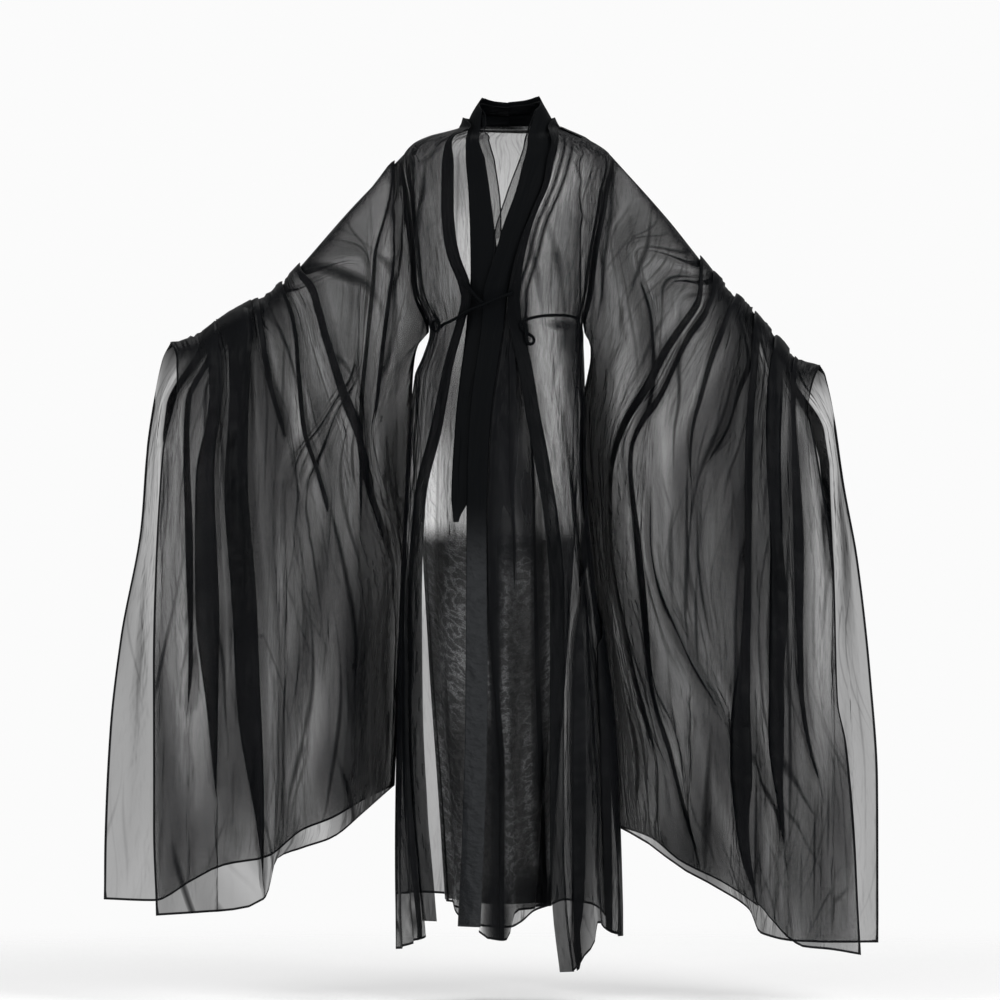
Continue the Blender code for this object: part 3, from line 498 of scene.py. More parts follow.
def pleats(*courses: tuple[tuple[float, float, float], ...]) -> tuple[Table, ...]:
    """Courses of doubled folds, each a row of drop, out and width for each of its points."""
    return tuple(Table("drop out width", *course) for course in courses)


# Each piece's doubled folds, in order from its front edge or, on a sleeve, from its body side.
RIGHT_FRONT_PLEATS = pleats(
    ((0.247, 0.2147, 0.008), (0.456, 0.243, 0.01), (0.58, 0.256, 0.0), (0.8, 0.205, 0.0)),
    (
        (0.2755, 0.395, 0.012), (0.304, 0.3705, 0.016), (0.38, 0.348, 0.017), (0.5035, 0.31, 0.018),
        (0.57, 0.287, 0.016), (0.665, 0.272, 0.014), (0.76, 0.243, 0.012), (0.836, 0.215, 0.0),
    ),
    (
        (0.31, 0.425, 0.006), (0.38, 0.402, 0.01), (0.48, 0.394, 0.01), (0.574, 0.385, 0.009),
        (0.6287, 0.3667, 0.009), (0.7013, 0.345, 0.008), (0.7304, 0.3376, 0.0),
    ),
    (
        (0.33, 0.475, 0.008), (0.45, 0.458, 0.012), (0.51, 0.443, 0.012), (0.55, 0.4286, 0.01),
        (0.6, 0.418, 0.0), (0.9, 0.4, 0.0),
    ),
    (
        (0.494, 0.507, 0.057), (0.665, 0.513, 0.061), (0.893, 0.496, 0.066), (1.083, 0.486, 0.057),
        (1.319, 0.467, 0.023), (1.44, 0.46, 0.0),
    ),
    (
        (0.494, 0.543, 0.03), (0.665, 0.57, 0.047), (0.893, 0.566, 0.053), (1.083, 0.557, 0.028),
        (1.27, 0.55, 0.0),
    ),
)
RIGHT_BACK_PLEATS = pleats(
    (
        (0.247, 0.253, 0.008), (0.38, 0.266, 0.01), (0.551, 0.281, 0.009), (0.646, 0.281, 0.006),
        (0.8, 0.28, 0.0),
    ),
    (
        (0.3, 0.275, 0.0), (0.45, 0.284, 0.0), (0.513, 0.3135, 0.006), (0.6175, 0.361, 0.006),
        (0.7, 0.39, 0.0),
    ),
    (
        (0.43, 0.29, 0.0), (0.4655, 0.3, 0.007), (0.513, 0.319, 0.007), (0.589, 0.3857, 0.006),
        (0.68, 0.42, 0.0),
    ),
    ((0.4, 0.44, 0.0), (0.9, 0.45, 0.0)),
    (
        (0.45, 0.6, 0.012), (0.57, 0.612, 0.01), (0.78, 0.606, 0.017), (1.02, 0.604, 0.015),
        (1.12, 0.61, 0.0),
    ),
    (
        (0.44, 0.63, 0.018), (0.494, 0.635, 0.02), (0.57, 0.648, 0.012), (0.608, 0.655, 0.0),
        (0.9, 0.66, 0.0),
    ),
)
LEFT_FRONT_PLEATS = pleats(
    (
        (0.323, 0.365, 0.013), (0.437, 0.289, 0.015), (0.46, 0.279, 0.015), (0.58, 0.213, 0.013),
        (0.6555, 0.198, 0.01), (0.83, 0.203, 0.008), (0.906, 0.218, 0.008), (1.094, 0.259, 0.01),
        (1.186, 0.289, 0.0),
    ),
    (
        (0.323, 0.388, 0.01), (0.39, 0.346, 0.011), (0.4845, 0.298, 0.011), (0.627, 0.232, 0.009),
        (0.779, 0.246, 0.012), (0.957, 0.264, 0.014), (1.064, 0.274, 0.013), (1.135, 0.2945, 0.012),
        (1.237, 0.32, 0.01), (1.298, 0.335, 0.007), (1.364, 0.355, 0.0),
    ),
    (
        (0.323, 0.431, 0.008), (0.418, 0.393, 0.01), (0.513, 0.365, 0.009), (0.589, 0.346, 0.007),
        (0.665, 0.346, 0.0),
    ),
    (
        (0.4, 0.47, 0.02), (0.6, 0.455, 0.024), (0.779, 0.452, 0.021), (1.007, 0.448, 0.027),
        (1.11, 0.441, 0.036), (1.21, 0.441, 0.04), (1.288, 0.442, 0.026), (1.415, 0.456, 0.012),
        (1.476, 0.473, 0.003),
    ),
    (
        (0.42, 0.51, 0.03), (0.6, 0.5, 0.03), (0.779, 0.507, 0.03), (0.893, 0.513, 0.045),
        (1.045, 0.507, 0.036), (1.16, 0.507, 0.032), (1.26, 0.517, 0.01), (1.37, 0.526, 0.0),
    ),
    (
        (0.55, 0.54, 0.012), (0.779, 0.55, 0.022), (1.08, 0.556, 0.01), (1.21, 0.581, 0.004),
        (1.246, 0.592, 0.0),
    ),
)
LEFT_BACK_PLEATS = pleats(
    (
        (0.2, 0.235, 0.0), (0.268, 0.247, 0.0), (0.323, 0.268, 0.009), (0.456, 0.281, 0.008),
        (0.6, 0.25, 0.0), (0.8, 0.23, 0.0),
    ),
    (
        (0.3, 0.3, 0.0), (0.6, 0.275, 0.0), (0.789, 0.269, 0.006), (0.916, 0.305, 0.008),
        (0.9975, 0.34, 0.008), (1.064, 0.376, 0.007), (1.125, 0.4218, 0.0),
    ),
    (
        (0.4, 0.479, 0.008), (0.551, 0.422, 0.008), (0.665, 0.374, 0.0), (0.8, 0.37, 0.0),
        (1.0, 0.4, 0.0), (1.125, 0.45, 0.0),
    ),
    ((0.4, 0.51, 0.0), (1.2, 0.52, 0.0)),
    ((0.42, 0.57, 0.02), (0.55, 0.594, 0.034), (0.646, 0.6, 0.025), (0.87, 0.619, 0.0)),
    ((0.44, 0.6, 0.0), (1.2, 0.66, 0.0)),
)
FRONT_LEFT_PLEATS = pleats(
    (
        (0.5, 0.135, 0.003), (0.62, 0.148, 0.012), (0.8, 0.142, 0.022), (0.95, 0.136, 0.03),
        (1.083, 0.133, 0.034), (1.4, 0.131, 0.036), (1.58, 0.126, 0.03),
    ),
    (
        (0.8, 0.164, 0.0), (0.95, 0.17, 0.01), (1.083, 0.178, 0.022), (1.3, 0.185, 0.024),
        (1.52, 0.19, 0.016),
    ),
)
FRONT_RIGHT_PLEATS = pleats(
    (
        (0.8, 0.172, 0.0), (0.98, 0.176, 0.01), (1.2, 0.172, 0.016), (1.4, 0.168, 0.012),
        (1.56, 0.165, 0.008),
    ),
)
INNER_LEFT_PLEATS = pleats(
    (
        (0.44, -0.028, 0.004), (0.6, -0.034, 0.006), (0.8, -0.036, 0.007), (0.98, -0.03, 0.007),
        (1.083, -0.02, 0.008), (1.2, -0.01, 0.009), (1.5, -0.012, 0.008),
    ),
    (
        (0.36, 0.004, 0.005), (0.5, 0.006, 0.006), (0.66, 0.006, 0.006), (0.8, 0.012, 0.004),
        (0.95, 0.012, 0.0),
    ),
    (
        (0.46, 0.034, 0.004), (0.62, 0.045, 0.005), (0.9, 0.052, 0.006), (1.2, 0.062, 0.008),
        (1.45, 0.07, 0.008),
    ),
)

# Creases of each front over the chest: their two ends, how far they bow, their half width and their height.
CREASES = "drop out drop_end out_end bow width depth"
CHEST_CREASES = {
    Side.LEFT: Table(
        CREASES,
        (0.205, 0.082, 0.359, 0.141, 0.002, 0.0045, 0.006),
        (0.230, 0.046, 0.290, 0.055, 0.000, 0.0040, 0.004),
        (0.280, 0.053, 0.360, 0.076, 0.000, 0.0040, -0.004),
        (0.340, 0.072, 0.400, 0.106, 0.000, 0.0050, 0.005),
        (0.057, 0.116, 0.120, 0.141, 0.000, 0.0045, 0.005),
        (0.087, 0.091, 0.129, 0.112, 0.000, 0.0040, -0.004),
        (0.129, 0.101, 0.190, 0.114, 0.000, 0.0040, 0.004),
        (0.144, 0.125, 0.206, 0.152, 0.000, 0.0060, 0.007),
        (0.106, 0.082, 0.154, 0.093, 0.000, 0.0040, 0.004),
        (0.240, 0.112, 0.372, 0.130, 0.003, 0.0060, -0.006),
        (0.300, 0.090, 0.384, 0.096, 0.000, 0.0060, 0.005),
    ),
    Side.RIGHT: Table(
        CREASES,
        (0.106, 0.139, 0.182, 0.180, 0.000, 0.0045, 0.005),
        (0.158, 0.133, 0.200, 0.136, 0.000, 0.0040, 0.004),
        (0.182, 0.135, 0.255, 0.108, 0.000, 0.0040, 0.004),
        (0.186, 0.178, 0.340, 0.162, 0.000, 0.0050, 0.006),
        (0.262, 0.125, 0.392, 0.127, 0.000, 0.0080, 0.009),
        (0.200, 0.150, 0.376, 0.142, 0.002, 0.0045, -0.005),
        (0.283, 0.146, 0.345, 0.157, 0.000, 0.0040, 0.005),
        (0.070, 0.135, 0.190, 0.128, 0.002, 0.0050, 0.004),
        (0.330, 0.115, 0.420, 0.128, 0.000, 0.0060, 0.006),
    ),
}

# Creases from the shoulder and the armhole down each sleeve.
SLEEVE_CREASES = {
    Side.LEFT: Table(
        CREASES,
        (0.12, 0.226, 0.32, 0.262, 0.003, 0.0045, 0.007),
        (0.22, 0.172, 0.40, 0.168, 0.004, 0.0050, 0.007),
        (0.26, 0.186, 0.46, 0.186, 0.002, 0.0050, -0.006),
        (0.30, 0.215, 0.42, 0.232, 0.000, 0.0060, 0.005),
        (0.70, 0.268, 1.10, 0.425, -0.014, 0.0060, 0.007),
        (0.90, 0.262, 1.22, 0.425, -0.010, 0.0060, 0.006),
        (0.76, 0.350, 0.96, 0.430, -0.006, 0.0050, 0.005),
    ),
    Side.RIGHT: Table(
        CREASES,
        (0.11, 0.205, 0.30, 0.245, 0.003, 0.0045, 0.007),
        (0.20, 0.180, 0.38, 0.172, 0.003, 0.0050, 0.007),
        (0.26, 0.200, 0.50, 0.196, 0.002, 0.0050, -0.006),
        (0.56, 0.420, 0.90, 0.330, 0.014, 0.0060, 0.007),
        (0.74, 0.400, 1.06, 0.300, 0.012, 0.0060, 0.006),
        (0.48, 0.330, 0.70, 0.240, 0.004, 0.0050, 0.005),
    ),
}

# Where each piece is bunched: drop, out, half height and half width of the place, and the layers it adds.
SPOTS = "drop out tall wide layers"
GATHERED = {
    "outer_back": Table(
        SPOTS,
        (0.22, 0.0, 0.22, 0.12, -0.5), (0.58, 0.08, 0.22, 0.05, -1.2), (0.72, -0.165, 0.18, 0.04, -1.1),
    ),
    "outer_band": Table(SPOTS, (0.25, 0.060, 0.50, 0.30, 3.4)),
    "outer_sleeve_right": Table(
        SPOTS,
        (1.06, 0.277, 0.26, 0.04, 0.9), (0.62, 0.205, 0.22, 0.03, 0.3), (1.0, 0.225, 0.2, 0.024, 0.5),
        (0.62, 0.545, 0.3, 0.035, 0.3), (0.42, 0.236, 0.14, 0.04, -0.3), (0.88, 0.262, 0.1, 0.03, -0.4),
        (0.9, 0.598, 0.34, 0.045, -0.6), (0.54, 0.642, 0.1, 0.03, -0.3), (1.3, 0.64, 0.15, 0.03, 0.3),
        (1.24, 0.332, 0.09, 0.036, 0.5), (1.24, 0.49, 0.06, 0.03, 0.3),
    ),
    "outer_sleeve_left": Table(
        SPOTS,
        (0.58, 0.166, 0.16, 0.03, 0.9), (0.85, 0.17, 0.2, 0.03, 1.05), (1.12, 0.19, 0.2, 0.026, 0.8),
        (1.05, 0.28, 0.26, 0.045, 0.3), (0.8, 0.45, 0.32, 0.035, 0.5), (0.42, 0.218, 0.14, 0.034, -0.3),
        (0.64, 0.218, 0.2, 0.03, -0.35), (0.82, 0.254, 0.14, 0.03, -0.4),
        (0.36, 0.327, 0.06, 0.04, -0.35), (0.62, 0.479, 0.22, 0.03, -0.3),
        (0.51, 0.555, 0.07, 0.03, -0.5), (0.76, 0.596, 0.44, 0.03, -0.9), (1.37, 0.365, 0.08, 0.05, 0.4),
    ),
    "outer_front_right": Table(
        SPOTS,
        (1.14, 0.192, 0.32, 0.028, 1.5), (0.3, 0.185, 0.2, 0.022, 0.5), (0.25, 0.16, 0.1, 0.03, 0.4),
        (0.372, 0.15, 0.012, 0.016, 1.2),
    ),
    "outer_front_left": Table(
        SPOTS,
        (0.155, 0.08, 0.08, 0.036, -0.4), (0.085, 0.1, 0.06, 0.06, -0.8), (0.3, 0.09, 0.06, 0.04, 0.4),
        (0.372, 0.102, 0.009, 0.022, 2.4), (0.398, 0.114, 0.026, 0.016, 1.4),
        (0.45, 0.122, 0.06, 0.012, 1.2), (0.66, 0.16, 0.18, 0.018, 0.5), (0.84, 0.136, 0.2, 0.024, -0.9),
        (1.18, 0.134, 0.38, 0.022, 2.6), (1.18, 0.172, 0.36, 0.026, 1.3),
    ),
    "inner_front_left": Table(
        SPOTS,
        (0.42, -0.01, 0.13, 0.042, 5.0), (0.6, -0.012, 0.19, 0.05, 5.0), (0.66, 0.05, 0.17, 0.018, 1.6),
        (0.72, 0.034, 0.08, 0.014, 2.6), (0.72, 0.068, 0.08, 0.01, 1.8), (1.46, 0.055, 0.05, 0.045, 2.6),
        (1.5, -0.021, 0.075, 0.022, 4.5), (0.84, -0.036, 0.12, 0.014, 3.0),
        (1.1, -0.022, 0.42, 0.009, 3.5), (1.12, 0.06, 0.4, 0.009, 2.2),
    ),
    "inner_front_right": Table(
        SPOTS,
        (0.1, 0.09, 0.06, 0.03, 0.6), (0.45, 0.04, 0.16, 0.028, 2.0), (0.5, 0.086, 0.18, 0.022, 1.0),
        (0.5, 0.118, 0.09, 0.018, 1.1), (0.755, 0.086, 0.03, 0.012, 3.5),
    ),
}


@dataclass(frozen=True)
class Wrap:
    """A robe's surface round the body, from rings at several drops. Above neckline only bands stand."""

    rings: Table
    neckline: float

    def sizes(self, drop: Array) -> tuple[Array, Array, Array, Array]:
        """Middle, half width, front and back of the ring at each drop."""
        right, left, front, back = (self.rings.at(k, drop) for k in ("right", "left", "front", "back"))
        return (left - right) / 2, (left + right) / 2, front, back

    def on(self, drop: Array, turn: Array) -> Array:
        """Points of the surface.

        Args:
            drop: Drop of each point.
            turn: How far round it lies, in radians from straight ahead towards the wearer's left.

        Returns:
            The points.
        """
        middle, half, front, back = self.sizes(drop)
        depth = np.where(np.cos(turn) > 0, front, back)
        return np.stack([middle + half * np.sin(turn), -depth * np.cos(turn), -drop], axis=-1)

    def lifted(self, drop: Array, turn: Array, lift: Array | float) -> Array:
        """Points a distance outside the surface, along its normal.

        Args:
            drop: Drop of each point.
            turn: How far round it lies.
            lift: The distance.

        Returns:
            The points.
        """
        small = 1e-4
        along = self.on(drop, turn + small) - self.on(drop, turn - small)
        down = self.on(drop + small, turn) - self.on(drop - small, turn)
        return self.on(drop, turn) + unit(np.cross(down, along)) * np.asarray(lift)[..., None]

    def turn_at(self, drop: Array, across: Array) -> Array:
        """How far round the front a distance across it lies."""
        middle, half, _, _ = self.sizes(drop)
        return np.arcsin(np.clip((across - middle) / half, -1, 1))

    def side_turn(self, drop: Array) -> Array:
        """How far round the side edges of front and back lie from straight ahead."""
        return np.radians(ARMHOLE_TURN.at("turn", drop)) - SIDE_SEAM / self.sizes(drop)[1]


OUTER = Wrap(OUTER_WRAP, -0.004)
INNER = Wrap(INNER_WRAP, -0.010)
SHOULDER_SHARE, ARMHOLE_SHARE = 0.10, 0.34  # of a panel's rows: over the shoulder, and down to the waist
SHOULDER_CROWD = 1.8  # how they crowd towards the neckline


def panel_drop(first: float, down: Array, hem: Array) -> Array:
    """Drop of each point of a panel, from its neckline over the shoulder and past the waist to its hem.

    Args:
        first: Drop of the neckline.
        down: Share down the panel.
        hem: Drop of the hem under each point.

    Returns:
        The drops.
    """
    shoulder = first + (ARMHOLE_TOP - first) * np.clip(down / SHOULDER_SHARE, 0, 1) ** SHOULDER_CROWD
    side = (WAIST - ARMHOLE_TOP) * np.clip((down - SHOULDER_SHARE) / (ARMHOLE_SHARE - SHOULDER_SHARE), 0, 1)
    skirt = (hem - WAIST) * np.clip((down - ARMHOLE_SHARE) / (1 - ARMHOLE_SHARE), 0, 1)
    return shoulder + side + skirt


class Surface(Protocol):
    """What a piece's cloth is laid over."""

    side: Side

    def point(self, share: Array, down: Array) -> Array:
        """Points at a share across the piece and a share down it."""

    def outward(self, points: Array) -> Array:
        """A rough way out of the garment at each point."""


@dataclass(frozen=True)
class Wrapped:
    """A surface that lies on a robe's wrap."""

    wrap: Wrap

    def outward(self, points: Array) -> Array:
        """A rough way out of the garment at each point."""
        return points * np.array([1.0, 1.0, 0.0]) + np.array([0.0, 0.0, 0.02])


@dataclass(frozen=True)
class RobePanel(Wrapped):
    """A front or a back, from the neckline over the shoulder and down to a hem.

    waves is how many folds its skirt has, how deep they are at the hem and where the first one lies.
    """

    hem: Table
    waves: tuple[float, float, float]

    def turn(self, share: Array, drop: Array) -> Array:
        """How far round each point lies. Each kind of panel gives its own."""
        raise NotImplementedError

    def raised(self, share: Array, drop: Array) -> Array:
        """Height of the skirt's folds: none at the waist, deepest at the hem.

        Args:
            share: Share across the panel.
            drop: Drop of each point.

        Returns:
            How far outside the wrap each point lies.
        """
        count, depth, first = self.waves
        grown = ease_in((drop - WAIST) / FOLDS_GROW_OVER)
        held = ease_in(share / EDGE_HELD) * ease_in((1 - share) / EDGE_HELD)
        uneven = 1 + UNEVEN * np.sin(2 * math.pi * (UNEVEN_TURNS * share + first))
        return depth * grown * held * uneven * np.sin(2 * math.pi * (count * share + first))

    def point(self, share: Array, down: Array) -> Array:
        """Points on the panel.

        Args:
            share: Share across it.
            down: Share down it.

        Returns:
            The points, the last row of which is the hem.
        """
        share, down = np.broadcast_arrays(share, down)
        neckline = self.wrap.neckline
        usual = panel_drop(neckline, np.ones_like(share), np.full_like(share, USUAL_HEM))
        across = self.wrap.on(usual, self.turn(share, usual))[..., 0]
        drop = panel_drop(neckline, down, self.hem.at("drop", across))
        return self.wrap.lifted(drop, self.turn(share, drop), self.raised(share, drop))


@dataclass(frozen=True)
class FrontPanel(RobePanel):
    """A front: from its edge round to the shoulder seam, armhole and side seam."""

    edge: Table
    side: Side
    lift: float

    def turn(self, share: Array, drop: Array) -> Array:
        """How far round each point lies.

        Args:
            share: Share across the front, from its edge.
            drop: Drop of each point.

        Returns:
            The turns.
        """
        sign = self.side.value
        near = self.wrap.turn_at(drop, sign * (self.edge.at("out", drop) - TUCKED))
        return near + (sign * self.wrap.side_turn(drop) - near) * share

    def raised(self, share: Array, drop: Array) -> Array:
        """Height of the skirt's folds, less where the front is tucked behind its band."""
        tucked = TUCKED_BEHIND * (1 - ease_in(share / TUCK_SHARE))
        return self.lift + super().raised(share, drop) - tucked


@dataclass(frozen=True)
class BackPanel(RobePanel):
    """A back: from the right side seam round behind to the left one."""

    side: Side = Side.LEFT

    def turn(self, share: Array, drop: Array) -> Array:
        """How far round each point lies."""
        return math.pi - (2 * share - 1) * self.wrap.side_turn(drop)


NET, SMOOTHING = 72, 900  # steps across the net that a sleeve's leaf is laid on, and rounds of smoothing
FOLD_ROW = 0.34  # the share down a sleeve at which the armhole ends and the fold under the arm starts
BESIDE_ARMHOLE = Table(
    "down drop",
    (0.0, 0.0475), (0.006, 0.06), (0.018, 0.085), (0.04, 0.12), (0.075, 0.16), (0.115, 0.2),
    (0.165, 0.25), (0.22, 0.3), (0.28, 0.345), (FOLD_ROW, WAIST),
)


@dataclass(frozen=True)
class SleeveLeaf:
    """One leaf of a sleeve: between the ridge on the arm, the body side, the cuff and the hem."""

    sizes: SleeveSizes
    folds: Table
    leaf: Leaf

    @property
    def side(self) -> Side:
        """The arm it is on."""
        return self.sizes.side

    def inner(self, down: Array) -> tuple[Array, Array, Array]:
        """The body side: down the armhole, then down the fold under the arm.

        Args:
            down: Share down the sleeve.

        Returns:
            How far out each place is, its drop and how far back it is.
        """
        sign = self.side.value
        beside = BESIDE_ARMHOLE.at("drop", down)
        turn = OUTER.side_turn(beside)
        hole = OUTER.on(beside, sign * (turn if self.leaf is Leaf.FRONT else math.pi - turn))
        fold = self.sizes.fold
        under = WAIST + np.clip((down - FOLD_ROW) / (1 - FOLD_ROW), 0, 1) * (fold["drop"][-1] - WAIST)
        below = ease_in((down - FOLD_ROW + FOLD_EASE) / FOLD_EASE)
        out = (1 - below) * (sign * hole[..., 0] + ARMHOLE_SEAM) + below * fold.at("out", under)
        back = (1 - below) * hole[..., 1] + below * fold.at("back", under)
        return out, np.where(down < FOLD_ROW, beside, under), back

    @cached_property
    def net(self) -> Array:
        """The leaf inside its outlines, as smooth as a stretched skin.

        Returns:
            Out, drop and the body side's depth at each point of an even net.
        """
        sizes, front = self.sizes, self.leaf is Leaf.FRONT
        cuff, hem = (sizes.front_cuff, sizes.front_hem) if front else (sizes.back_cuff, sizes.back_hem)
        even = np.linspace(0, 1, NET + 1)
        cuff_drop = cuff.first[0] + even * (cuff.first[-1] - cuff.first[0])
        hem_out = hem.first[0] + even * (hem.first[-1] - hem.first[0])
        inner = np.stack(self.inner(even), -1)
        ridge = np.stack([sizes.ridge.at("out", even), sizes.ridge.at("drop", even)], -1)
        right = np.stack([cuff.at("out", cuff_drop), cuff_drop], -1)
        bottom = np.stack([hem_out, hem.at("drop", hem_out)], -1)
        share, down = even[None, :, None], even[:, None, None]
        net = np.zeros((NET + 1, NET + 1, 3))
        net[..., :2] = (1 - share) * inner[:, None, :2] + share * right[:, None]
        net[..., :2] += (1 - down) * (ridge - (1 - share[0]) * ridge[0] - share[0] * ridge[-1])[None]
        net[..., :2] += down * (bottom - (1 - share[0]) * bottom[0] - share[0] * bottom[-1])[None]
        net[..., 2] = inner[:, None, 2]
        for _ in range(SMOOTHING):
            net[1:-1, 1:-1] = (net[:-2, 1:-1] + net[2:, 1:-1] + net[1:-1, :-2] + net[1:-1, 2:]) / 4
        return net

    def spread(self, share: Array, down: Array) -> Array:
        """Reads the net smoothly between its points.

        Args:
            share: Share along the sleeve.
            down: Share down it.

        Returns:
            What the net holds at each place.
        """
        places, weights = [], []
        for where in (down * NET, share * NET):
            first = np.clip(np.floor(where).astype(int), 0, NET - 1)
            t = where - first
            places.append([np.clip(first + k, 0, NET) for k in (-1, 0, 1, 2)])
            before, after = t * (-1 + t * (2 - t)) / 2, t * t * (t - 1) / 2
            weights.append((before, 1 + t * t * (-5 + 3 * t) / 2, t * (1 + t * (4 - 3 * t)) / 2, after))
        return sum(
            (a * b)[..., None] * self.net[i, j]
            for i, a in zip(places[0], weights[0])
            for j, b in zip(places[1], weights[1])
        )

    def point(self, share: Array, down: Array) -> Array:
        """Points on the leaf.

        Args:
            share: Share along the sleeve, from the armhole.
            down: Share down it.

        Returns:
            The points.
        """
        share, down = np.broadcast_arrays(share, down)
        sizes, facing = self.sizes, self.leaf.value
        laid, down_edge = self.spread(share, down), down[..., :1]
        edge = np.stack(self.inner(down_edge), -1) - self.spread(np.zeros_like(down_edge), down_edge)
        laid = laid + edge * (1 - ease_in(share / BODY_EDGE))[..., None]
        out, drop, inner_back = np.moveaxis(laid, -1, 0)
        below = np.clip((drop - sizes.ridge.at("drop", share)) / ARM_REACH, 0, 1)
        hang = np.sqrt(1 - (1 - below) ** 2) * ARM_REACH + SWING * down
        joined = ease_in(share / SLEEVE_JOINED)
        back = inner_back * (1 - joined) + (sizes.ridge.at("back", share) + facing * hang) * joined
        for top, bottom, width, depth, start, end in self.folds.rows():
            course = top + (bottom - top) * np.sqrt(down)
            fade = ease_in((down - start) / FOLD_COMES) * ease_in((end - down) / FOLD_GOES)
            back = back + facing * depth * np.exp(-(((share - course) / width) ** 2)) * fade * joined
        return np.stack([self.side.value * out, back, -drop], axis=-1)

    def outward(self, points: Array) -> Array:
        """A rough way out of the garment at each point."""
        return np.broadcast_to([0.0, float(self.leaf.value), 0.2], points.shape)


@dataclass(frozen=True)
class NeckBand(Wrapped):
    """A neck band: round the neck from its centre back, then down the front beside its seam."""

    stand: Table
    edge: Table
    side: Side
    lift: float
    end: float
    wider: float = 0.0
    is_strip: bool = False

    def lines(self, down: Array) -> tuple[Array, Array, Array, Array]:
        """The courses of the band's seam and of its free edge.

        Args:
            down: Share along the band.

        Returns:
            Turn and drop of the seam, then turn and drop of the free edge.
        """
        behind = len(self.stand.first)
        first = self.wrap.neckline
        drops = first + (self.end - first) * np.linspace(0, 1, BAND_STEPS) ** BAND_CROWD
        level = ease_in((drops - first) / NECK_EASE)
        seam = self.edge.at("out", drops) - SEAM * (1 + NECK_SEAM_WIDER * (1 - level))
        width, rise = self.edge.at("width", drops) + self.wider * level, self.edge.at("rise", drops)
        sign = self.side.value
        near = self.wrap.turn_at(drops, sign * seam)
        far = self.wrap.turn_at(drops - rise, sign * (seam - width))
        far = near + (far - near) * self.edge.at("lay", drops)
        back = sign * np.radians(self.stand["turn"])
        near_turn, far_turn = np.concatenate([back, near]), np.concatenate([back, far])
        near_drop = np.concatenate([self.stand["low"], drops])
        far_drop = np.concatenate([self.stand["high"], drops - rise])
        low, high = np.zeros(len(drops) + behind), np.ones(len(drops) + behind)
        if self.is_strip:
            low = np.concatenate([np.full(behind, STRIP_STAND[0]), 1 - STRIP_UNDER / width])
            shown = self.edge.at("shown", drops) / width
            high = np.concatenate([np.full(behind, STRIP_STAND[1]), 1 + shown])
        run = run_along(self.wrap.on(near_drop, near_turn), 0)
        run /= run[-1]
        return tuple(
            np.interp(down, run, line)
            for line in (
                near_turn + (far_turn - near_turn) * low,
                near_drop + (far_drop - near_drop) * low,
                near_turn + (far_turn - near_turn) * high,
                near_drop + (far_drop - near_drop) * high,
            )
        )

    def point(self, share: Array, down: Array) -> Array:
        """Points on the band.

        Args:
            share: Share across it, from its seam.
            down: Share along it, from the centre back.

        Returns:
            The points.
        """
        share, down = np.broadcast_arrays(share, down)
        near_turn, near_drop, far_turn, far_drop = self.lines(down)
        drop = near_drop + (far_drop - near_drop) * share
        return self.wrap.lifted(drop, near_turn + (far_turn - near_turn) * share, self.lift)


@dataclass(frozen=True)
class Pleat:
    """A fold doubled over on itself: its course by drop, out and width, and how proud its layers stand."""

    course: Table
    proud: float = 0.007


@dataclass(frozen=True)
class Edges:
    """How wide the rolled hem or seam is along each edge of a piece, or 0 where it has none."""

    start: float = 0.0
    end: float = 0.0
    top: float = 0.0
    bottom: float = 0.0


@dataclass
class Laid:
    """A piece's grid once it is laid.

    across and along are places in the flat cloth. hem is the distance to the nearest hem, in widths of it,
    and dense how many further layers the cloth looks like.
    """

    points: Array
    across: Array
    along: Array
    hem: Array
    dense: Array


@dataclass
class Columns:
    """The columns of a piece before it is laid.

    share and flat are where each point is across the piece and its flat cloth, lift is how far its doubled
    folds stand out there and doubled how fully they are folded. total is each row's length, and counts the
    plain columns between doubled folds.
    """

    share: Array
    flat: Array
    lift: Array
    doubled: Array
    total: Array
    counts: list[int]


USUAL_LENGTH = 1.2  # of a piece, in metres: it turns the width of a hem into a share down the piece
FINE = 301  # places read across a row before its columns are laid
PLEAT_COLUMNS = 12  # across a doubled fold
PLEAT_HALF, PLEAT_SPARE = 0.55, 0.004  # half of what it takes up is this share of its width, and this more
PLEATS_APART = 0.002  # the least distance between two doubled folds
PLEAT_ROOM = 0.010  # what is kept free along a row for each one still to come
COURSE_EVENED = 4  # rows to each side over which a doubled fold's course is evened out
LEAST_SLOPE = 0.2  # the least that a row is taken to run outwards for each metre along it
LAYER_STARTS, LAYER_RISES = 0.12, 0.76  # where in a doubled fold its layers start to rise, and over how much
RECOVER = 0.045  # how far beyond a doubled fold its top layer takes to settle back
FULL_PLEAT = 0.004  # the width from which a fold is fully doubled
PRESSED = 0.75  # layers that the cloth of a doubled fold looks thicker, where it is pressed together
SEAM_HELD = 0.018  # how far from a seam the small folds reach their height
RIPPLES_FROM, RIPPLES_TO = 0.12, 0.06  # how far from a piece's top and hem they do
BENDS, BENT = (0.15, 0.4), 1.5  # breadth and length of their bends, and how far they are bent
PUFFS, PUFFS_REACH = (0.016, 0.05), 0.035  # breadth and length of puffs, and how far down they reach
STREAM_LENGTHS = (0.5, 0.35)  # of the broad streams of a gathering and of the narrow ones between
NARROWER = 2.3  # how much narrower those are
STREAM_CONTRAST, STREAM_FILL = 1.3, 0.35  # how clearly they stand out, and how much of the cloth they fill
NARROW_WEIGHT = 0.5  # what a narrow stream adds beside a broad one
SPOT_EDGE = 1.6  # how sharply a bunched place ends
PLAIN_OVER, BANK_OVER, PUFFS_OVER = 0.04, 0.03, 0.02  # metres in which smooth cloth, banks and puffs come in
ENDS_FADE = (0.25, 0.35)  # the shares of a crease over which it rises and dies out
BEYOND_HEMS = 9.0  # hem widths, more than any hem lies away
